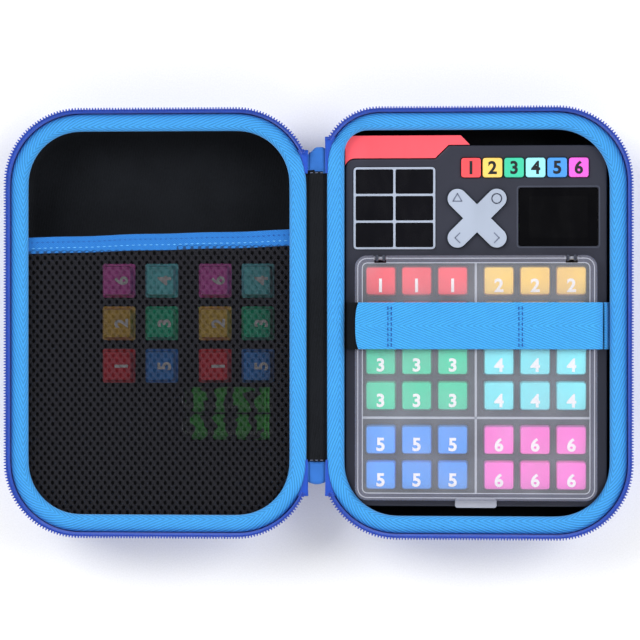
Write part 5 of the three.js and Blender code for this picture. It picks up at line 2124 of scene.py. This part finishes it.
    def icon_line(
        self, blank: Blank, first: tuple[float, float], second: tuple[float, float], z: float
    ) -> None:
        """Thin raised stroke between two points."""
        dx, dy = second[0] - first[0], second[1] - first[1]
        before = set(blank.mesh.verts)
        blank.slab((0, 0), (math.hypot(dx, dy) + 0.5, 0.55), (0, 0.12), 0.27, 0.0, 3)
        verts = [v for v in blank.mesh.verts if v not in before]
        middle = ((first[0] + second[0]) / 2, (first[1] + second[1]) / 2, z)
        matrix = Matrix.Translation(middle) @ Matrix.Rotation(math.atan2(dy, dx), 4, "Z")
        bmesh.ops.transform(blank.mesh, matrix=matrix, verts=verts)

    def build_keys(self) -> None:
        """Six coloured keys with their numbers."""
        for number in Number:
            node = f"number_key_{number.digit}"
            low, high = node_box(node)
            middle, size = footprint(node)
            blank = Blank()
            blank.slab(middle, size, (low.z, high.z), 1.4, 0.7, 5)
            blank.right_way_out()
            digit = character(number.digit, 7.1, 0.3, 0.16)
            blank.stamp(digit, Matrix.Translation((*middle, high.z)), 1)
            cap = MouldedPlastic(f"key_{number.shade}", number.key_colour, 0.42)
            settle(
                blank.to_object(f"{node}_cap", [cap, BLACK_INK]),
                f"key_{number.digit}",
                f"key_{number.shade}",
                node,
            )

    def build_inside(self) -> None:
        """Circuit board with a few parts on it, and the cells in their bay."""
        low, high = node_box("circuit_board")
        piece = refined("circuit_board").to_object("circuit_board_panel", [BOARD_GREEN])
        round_edges(piece, 0.15)
        settle(piece, "base", "board", "circuit_board")
        parts = Blank()
        seed = random.Random(11)
        for _ in range(14):
            spot = (seed.uniform(low.x + 12, low.x + 70), seed.uniform(low.y + 6, low.y + 34))
            size = (seed.uniform(2, 7), seed.uniform(1.5, 5))
            parts.slab(spot, size, (high.z - 0.05, high.z + seed.uniform(0.5, 0.9)), 0.2, 0.1, 2)
        parts.right_way_out()
        settle(parts.to_object("circuit_board_parts", [SCREEN_BLACK]), "base", "board")
        for i in (1, 2):
            add_cell(f"console_cell_{i}", "base")


@dataclass
class TileWell:
    """Tray of removable number tiles under a hinged frosted cover."""

    deck: float
    pitch: tuple[float, float] = (19.3, 19.0)
    flange: tuple[float, float] = (18.6, 18.0)
    opening: tuple[float, float] = (17.0, 16.6)
    lattice: tuple[float, float] = (19.0, 21.0)
    cover_wall: float = 2.8
    plate: float = 1.5
    edge: float = 1.5
    notch: float = 6.4
    hinge_offset: float = 51.0
    rib: float = 1.2

    def build(self) -> None:
        """Makes the tray, its tiles and the cover."""
        self.build_tray()
        for number in Number:
            self.build_group(number)
        self.build_cover()

    def build_tray(self) -> None:
        """Tray with a lattice between the tiles."""
        low, high = node_box("tile_tray")
        middle, size = footprint("tile_tray")
        blank = Blank()
        blank.slab(middle, size, (low.z, high.z), 0.8)
        blank.right_way_out()
        piece = blank.to_object("tile_tray_shell", [TRAY_GREY])
        hollow = Blank()
        hollow.slab(middle, (size[0] - 1.6, size[1] - 1.6), (low.z + 1.2, high.z + 1), 0.4)
        carve(piece, hollow)
        round_edges(piece, 0.2)
        settle(piece, "base", "housing", "tile_tray")
        sheet = Blank()
        sheet.slab(middle, (size[0] - 1.7, size[1] - 1.7), self.lattice, 0.4)
        sheet.right_way_out()
        lattice = sheet.to_object("tile_tray_lattice", [TRAY_GREY])
        cuts = Blank()
        for number in Number:
            for x, y in self.places(number):
                cuts.slab((x, y), self.opening, (self.lattice[0] - 1, self.lattice[1] + 1), 1.6, 0.0, 3)
        carve(lattice, cuts)
        settle(lattice, "base", "housing")

    def places(self, number: Number) -> list[tuple[float, float]]:
        """Middles of a number's six tiles."""
        low, _ = node_box(f"tray_tiles_{number.digit}")
        x0, y0 = low.x + self.flange[0] / 2, low.y + self.flange[1] / 2
        return [(x0 + c * self.pitch[0], y0 + r * self.pitch[1]) for c in range(3) for r in range(2)]

    def build_group(self, number: Number) -> None:
        """Six tiles of one number on their shared web."""
        node = f"tray_tiles_{number.digit}"
        low, _ = node_box(node)
        middle, size = footprint(node)
        blank = Blank()
        blank.slab(middle, size, (low.z, low.z + 1.0), 0.6, 0.0, 2)
        blank.right_way_out()
        for x, y in self.places(number):
            TILE.add_to(blank, number, Matrix.Translation((x, y, low.z)), loose=False)
        settle(
            blank.to_object(f"{node}_mouldings", TILE.finishes(number)), "base", f"tile_{number.shade}", node
        )

    def build_cover(self) -> None:
        """Frosted cover: a plate with walls and ribs, pivots in two notches and a lip to lift it by."""
        low, high = node_box("tile_cover")
        front = low.y + 4.0
        middle = ((low.x + high.x) / 2, (front + high.y) / 2)
        size = (high.x - low.x, high.y - front)
        wall, bottom, top = self.cover_wall, low.z, high.z
        blank = Blank()
        blank.slab(middle, size, (bottom, top), 6.5, self.edge, 8)
        blank.right_way_out()
        piece = blank.to_object("tile_cover_moulding", [COVER_RIM, COVER_PLATE])
        hollow = Blank()
        hollow.slab(middle, (size[0] - 2 * wall, size[1] - 2 * wall), (bottom - 1, top - self.plate), 3.8)
        carve(piece, hollow)
        cuts = Blank()
        cuts.slab((middle[0], high.y), (2 * size[0], 2 * (wall - 0.3)), (bottom - 2, bottom + 0.8))
        for side in (-1, 1):
            cuts.slab(
                (middle[0] + side * self.hinge_offset, high.y),
                (self.notch, 8.2),
                (bottom - 1.1, top + 1),
                0.0,
            )
        carve(piece, cuts)
        inner_x, inner_y = size[0] / 2 - wall - 1.2, size[1] / 2 - wall - 1.2
        self.split_plate(piece, middle, (inner_x, inner_y))
        settle(piece, "cover", "clear_cover", "tile_cover")
        self.build_cover_fittings(middle, (inner_x, inner_y), low, high)

    def split_plate(
        self, piece: bpy.types.Object, middle: tuple[float, float], inner: tuple[float, float]
    ) -> None:
        """Cuts the plate along the rim's inner line, and gives what lies inside it the plate's finish."""
        mesh = bmesh.new()
        mesh.from_mesh(piece.data)
        for axis in (0, 1):
            for side in (-1, 1):
                spot = Vector((0, 0, 0))
                spot[axis] = (middle[axis] + side * inner[axis]) * MM
                normal = Vector((0, 0, 0))
                normal[axis] = 1
                flat = [f for f in mesh.faces if abs(f.normal.z) > 0.9]
                near = [*flat, *{e for f in flat for e in f.edges}, *{v for f in flat for v in f.verts}]
                bmesh.ops.bisect_plane(mesh, geom=near, plane_co=spot, plane_no=normal, dist=1e-7)
        for face in mesh.faces:
            centre = face.calc_center_median() / MM
            within = abs(centre.x - middle[0]) < inner[0] and abs(centre.y - middle[1]) < inner[1]
            face.material_index = int(within and abs(face.normal.z) > 0.9)
        mesh.to_mesh(piece.data)
        mesh.free()

    def build_cover_fittings(
        self, middle: tuple[float, float], inner: tuple[float, float], low: Vector, high: Vector
    ) -> None:
        """Ribs between the blocks of tiles, the pivots and the lifting lip."""
        blank = Blank()
        top = high.z - self.plate
        for x, y, w, l in (
            (middle[0], middle[1], self.rib, 2 * inner[1]),
            (middle[0], middle[1] - 21.3, 2 * inner[0], self.rib),
            (middle[0], middle[1] + 21.3, 2 * inner[0], self.rib),
        ):
            blank.slab((x, y), (w, l), (top - 1.0, top + 0.02))
        for side in (-1, 1):
            x = middle[0] + side * self.hinge_offset
            pin = [(0.0, 0.0), (0.0, 0.9), (self.notch + 1.0, 0.9), (self.notch + 1.0, 0.0)]
            blank.lathe(
                pin, Vector((x - self.notch / 2 - 0.5, high.y - 1.5, self.deck + 2.1)), Vector((1, 0, 0)), 16
            )
        blank.slab((middle[0], low.y + 2.5), (22.3, 5.0), (low.z, low.z + 1.6), 1.4, 0.5)
        blank.right_way_out()
        settle(blank.to_object("tile_cover_fittings", [COVER_EDGE], 50), "cover", "clear_cover")
        lines = Blank()
        size = (high.x - low.x, high.y - low.y - 4.0)
        for inset, radius in ((1.4, 5.2), (self.cover_wall + 1.0, 3.0)):
            face = lines.plate(middle, (size[0] - 2 * inset, size[1] - 2 * inset), high.z - 0.02, radius)
            ring = bmesh.ops.inset_region(
                lines.mesh, faces=[face], thickness=0.5, use_even_offset=True, use_boundary=True
            )["faces"]
            bmesh.ops.delete(lines.mesh, geom=[face], context="FACES_ONLY")
            made = bmesh.ops.extrude_face_region(lines.mesh, geom=ring, use_keep_orig=True)["geom"]
            bmesh.ops.translate(
                lines.mesh, vec=(0, 0, 0.14), verts=[g for g in made if isinstance(g, BMVert)]
            )
        lines.right_way_out()
        edges = lines.to_object("tile_cover_edges", [COVER_EDGE], 50)
        cuts = Blank()
        for side in (-1, 1):
            x = middle[0] + side * self.hinge_offset
            cuts.slab((x, high.y), (self.notch, 8.2), (low.z - 1.1, high.z + 1))
        carve(edges, cuts)
        settle(edges, "cover", "clear_cover")


# ---------------------------------------------------------------- the straps


@dataclass
class Straps:
    """Webbing that holds the console down, and the black strap that it fastens to."""

    y: float = -1.5
    width: float = 25.0
    thickness: float = 1.3
    hook_thickness: float = 0.9

    def build(self) -> None:
        """Makes the three straps and their stitches."""
        self.build_root()
        self.build_hold()
        self.build_hook()

    def ribbon(
        self, blank: Blank, path: Sequence[tuple[float, float]], width: float, rows: int, step: float = 1.4
    ) -> list[Vector]:
        """Lays a band of cloth along a smoothed path of (x, z) points, with its middle on the path.

        Args:
            blank: the mesh.
            path: the points.
            width: width of the band.
            rows: rows across it.
            step: length of a cell along it.

        Returns:
            The points along the middle.
        """
        line = smoothed([Vector((x, self.y, z)) for x, z in path], step)

        def place(u: float, v: float) -> tuple[float, float, float]:
            spot = line[round(u * (len(line) - 1))]
            side = (v - 0.5) * width
            return (spot.x, spot.y - side, spot.z - 0.12 * (2 * v - 1) ** 4)

        blank.cloth(len(line) - 1, rows, place)
        blank.right_way_up()
        return line

    def build_root(self) -> None:
        """Sewn-down end of the webbing, in the gap beside the console."""
        blank = Blank()
        path = [(159.85, 8.0), (159.85, 18.4), (158.05, 21.1), (155.8, 23.1), (153.6, 26.6)]
        self.ribbon(blank, path, self.width, 8)
        piece = blank.to_object("strap_root_tape", [AZURE_STRAP], 60)
        thicken(piece, self.thickness)
        round_edges(piece, 0.35)
        settle(piece, "base", "webbing", "strap_root")

    def build_hold(self) -> None:
        """Free part of the webbing across the cover, with its round end and rows of stitches."""
        blank = Blank()
        path = [
            (152.3, 28.1),
            (150.05, 31.0),
            (146.55, 31.35),
            (141.85, 31.2),
            (55.55, 31.2),
            (45.55, 32.35),
            (20.95, 32.35),
        ]
        line = self.ribbon(blank, path, self.width, 12)
        end = 21.0
        for vert in blank.mesh.verts:
            side = abs(vert.co.y - self.y) / (self.width / 2)
            if vert.co.x < end + 8:
                vert.co.x += 1.6 * side**3 * (1 - (vert.co.x - end) / 8)
            vert.co.z += 0.18 * math.sin(vert.co.x / 11.0) * side**2
        piece = blank.to_object("hold_strap_tape", [AZURE_STRAP], 60)
        thicken(piece, self.thickness)
        round_edges(piece, 0.35)
        bake_modifiers(piece)
        settle(piece, "strap", "webbing", "hold_strap")
        self.fold_aside(piece, 0.1545, 0.035)
        stitches = Blank()
        for x in (39.3, 109.0):
            z = min(line, key=lambda p: abs(p.x - x)).z + self.thickness / 2 + 0.1
            for dx in (-0.9, 0.9):
                row = [Vector((x + dx, self.y + s * (self.width / 2 - 1.2), z)) for s in (-1, 1)]
                sew(stitches, row, 2.1, 0.55, 0.7)
        thread = stitches.to_object("hold_strap_stitches", [DARK_THREAD], 60)
        settle(thread, "strap", "webbing")
        self.fold_aside(thread, 0.1545, 0.035)

    def build_hook(self) -> None:
        """Black strap from the wall at the spine side to the top of the cover."""
        blank = Blank()
        path = [
            (11.25, 8.0),
            (11.25, 18.6),
            (12.85, 21.3),
            (15.4, 23.5),
            (18.05, 28.4),
            (20.55, 30.75),
            (23.55, 30.95),
            (41.55, 30.95),
        ]
        self.ribbon(blank, path, self.width, 6)
        piece = blank.to_object("hook_strap_tape", [HOOK_BLACK], 60)
        thicken(piece, self.hook_thickness)
        round_edges(piece, 0.25)
        bake_modifiers(piece)
        settle(piece, "base", "hook_tape", "hook_strap")
        self.fold_aside(piece, 0.0125, 0.15)

    def fold_aside(self, piece: bpy.types.Object, anchor: float, keep: float) -> None:
        """Lets a strap be drawn back to the side as the cover opens."""
        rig.squash(piece, "cover_hinge", axis=(1, 0, 0), anchor=(anchor, self.y * MM, 0.028), keep=keep)


def smoothed(points: Sequence[Vector], step: float) -> list[Vector]:
    """Points at even steps along a path whose corners are rounded."""
    line = list(points)
    for _ in range(3):
        cut = [line[0]]
        for first, second in zip(line, line[1:]):
            cut += [first.lerp(second, 0.25), first.lerp(second, 0.75)]
        line = [*cut, line[-1]]
    total = sum((b - a).length for a, b in zip(line, line[1:]))
    count = max(2, round(total / step))
    out, reach, index = [line[0].copy()], 0.0, 0
    for i in range(1, count):
        target = total * i / count
        while reach + (line[index + 1] - line[index]).length < target:
            reach += (line[index + 1] - line[index]).length
            index += 1
        piece = line[index + 1] - line[index]
        out.append(line[index] + piece * ((target - reach) / piece.length))
    return [*out, line[-1].copy()]


# ---------------------------------------------------------------- the set


def area_light(name: str, place: tuple[float, float, float], size: float, power: float) -> None:
    """Soft square light that faces the middle of the case.

    Args:
        name: its name.
        place: where it hangs, in metres.
        size: its side, in metres.
        power: its power, in watts.
    """
    lamp = bpy.data.lights.new(name, "AREA")
    lamp.size, lamp.energy = size, power
    holder = bpy.data.objects.new(name, lamp)
    holder.location = place
    holder.rotation_euler = (-Vector(place)).to_track_quat("-Z", "Y").to_euler()
    bpy.context.scene.collection.objects.link(holder)


def build_set(
    camera_height: float = 1.30,
    view_width: float = 0.3425,
    rim_height: float = 0.031,
    tilt_degrees: float = 3.5,
) -> None:
    """Makes the pale floor, the lights, the sky that darkens overhead, and the camera above the case."""
    blank = Blank()
    bmesh.ops.create_grid(blank.mesh, x_segments=8, y_segments=8, size=2500)
    bmesh.ops.translate(blank.mesh, vec=(0, 0, -0.05), verts=blank.mesh.verts)
    floor = blank.to_object("studio_floor", [Ink("studio_paper", (0.92, 0.92, 0.92, 1.0), 0.9)])
    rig.stage(floor)
    world = bpy.data.worlds.new("studio")
    world.use_nodes = True
    tree = world.node_tree
    sky = tree.nodes["Background"]
    sky.inputs["Strength"].default_value = 0.8
    towards = tree.nodes.new("ShaderNodeTexCoord")
    parts = tree.nodes.new("ShaderNodeSeparateXYZ")
    fade = tree.nodes.new("ShaderNodeMapRange")
    fade.interpolation_type = "SMOOTHSTEP"
    fade_from, fade_to, low_light, overhead_light = 0.72, 0.94, 1.0, 0.03
    for socket, value in zip(fade.inputs[1:5], (fade_from, fade_to, low_light, overhead_light)):
        socket.default_value = value
    tree.links.new(towards.outputs["Generated"], parts.inputs[0])
    tree.links.new(parts.outputs[2], fade.inputs[0])
    tree.links.new(fade.outputs[0], sky.inputs["Color"])
    scene = bpy.context.scene
    scene.world = world
    scene.view_settings.view_transform = "Standard"
    for name, spot, size, power in (
        ("window_left", (-1.3, 0.9, 1.2), 1.2, 25.0),
        ("window_right", (1.4, 0.5, 1.1), 1.0, 17.0),
        ("fill_front", (0.2, -1.5, 1.0), 1.2, 12.0),
    ):
        area_light(name, spot, size, power)
    data = bpy.data.cameras.new("view_from_above")
    data.sensor_width = 36.0
    data.lens = 36.0 * (camera_height - rim_height) / view_width
    data.clip_start = 0.05
    camera = bpy.data.objects.new("view_from_above", data)
    tilt = math.radians(tilt_degrees)
    aim = Vector((0.0020, 0.0016, rim_height))
    distance = camera_height - rim_height
    camera.location = aim + Vector((math.sin(tilt), 0, math.cos(tilt))) * distance
    camera.rotation_euler = (0, tilt, 0)
    scene.collection.objects.link(camera)
    scene.camera = camera


def main() -> None:
    """Builds the case, the console and the set around the fixed frame."""
    logging.basicConfig(level=logging.INFO, format="%(name)s: %(message)s")
    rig.load()
    solid_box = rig.bounds()
    base, lid = CaseHalf(Half.BASE), CaseHalf(Half.LID)
    base.build()
    lid.build()
    Spine().build(base, lid)
    Pocket().build()
    Console().build()
    Straps().build()
    build_set()
    sizes = {"cad": [list(map(float, corner)) for corner in solid_box]}
    sizes["visual"] = [list(map(float, corner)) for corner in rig.bounds()]
    with open("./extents.json", "w", encoding="utf-8") as file:
        json.dump(sizes, file)


if __name__ == "__main__":
    main()
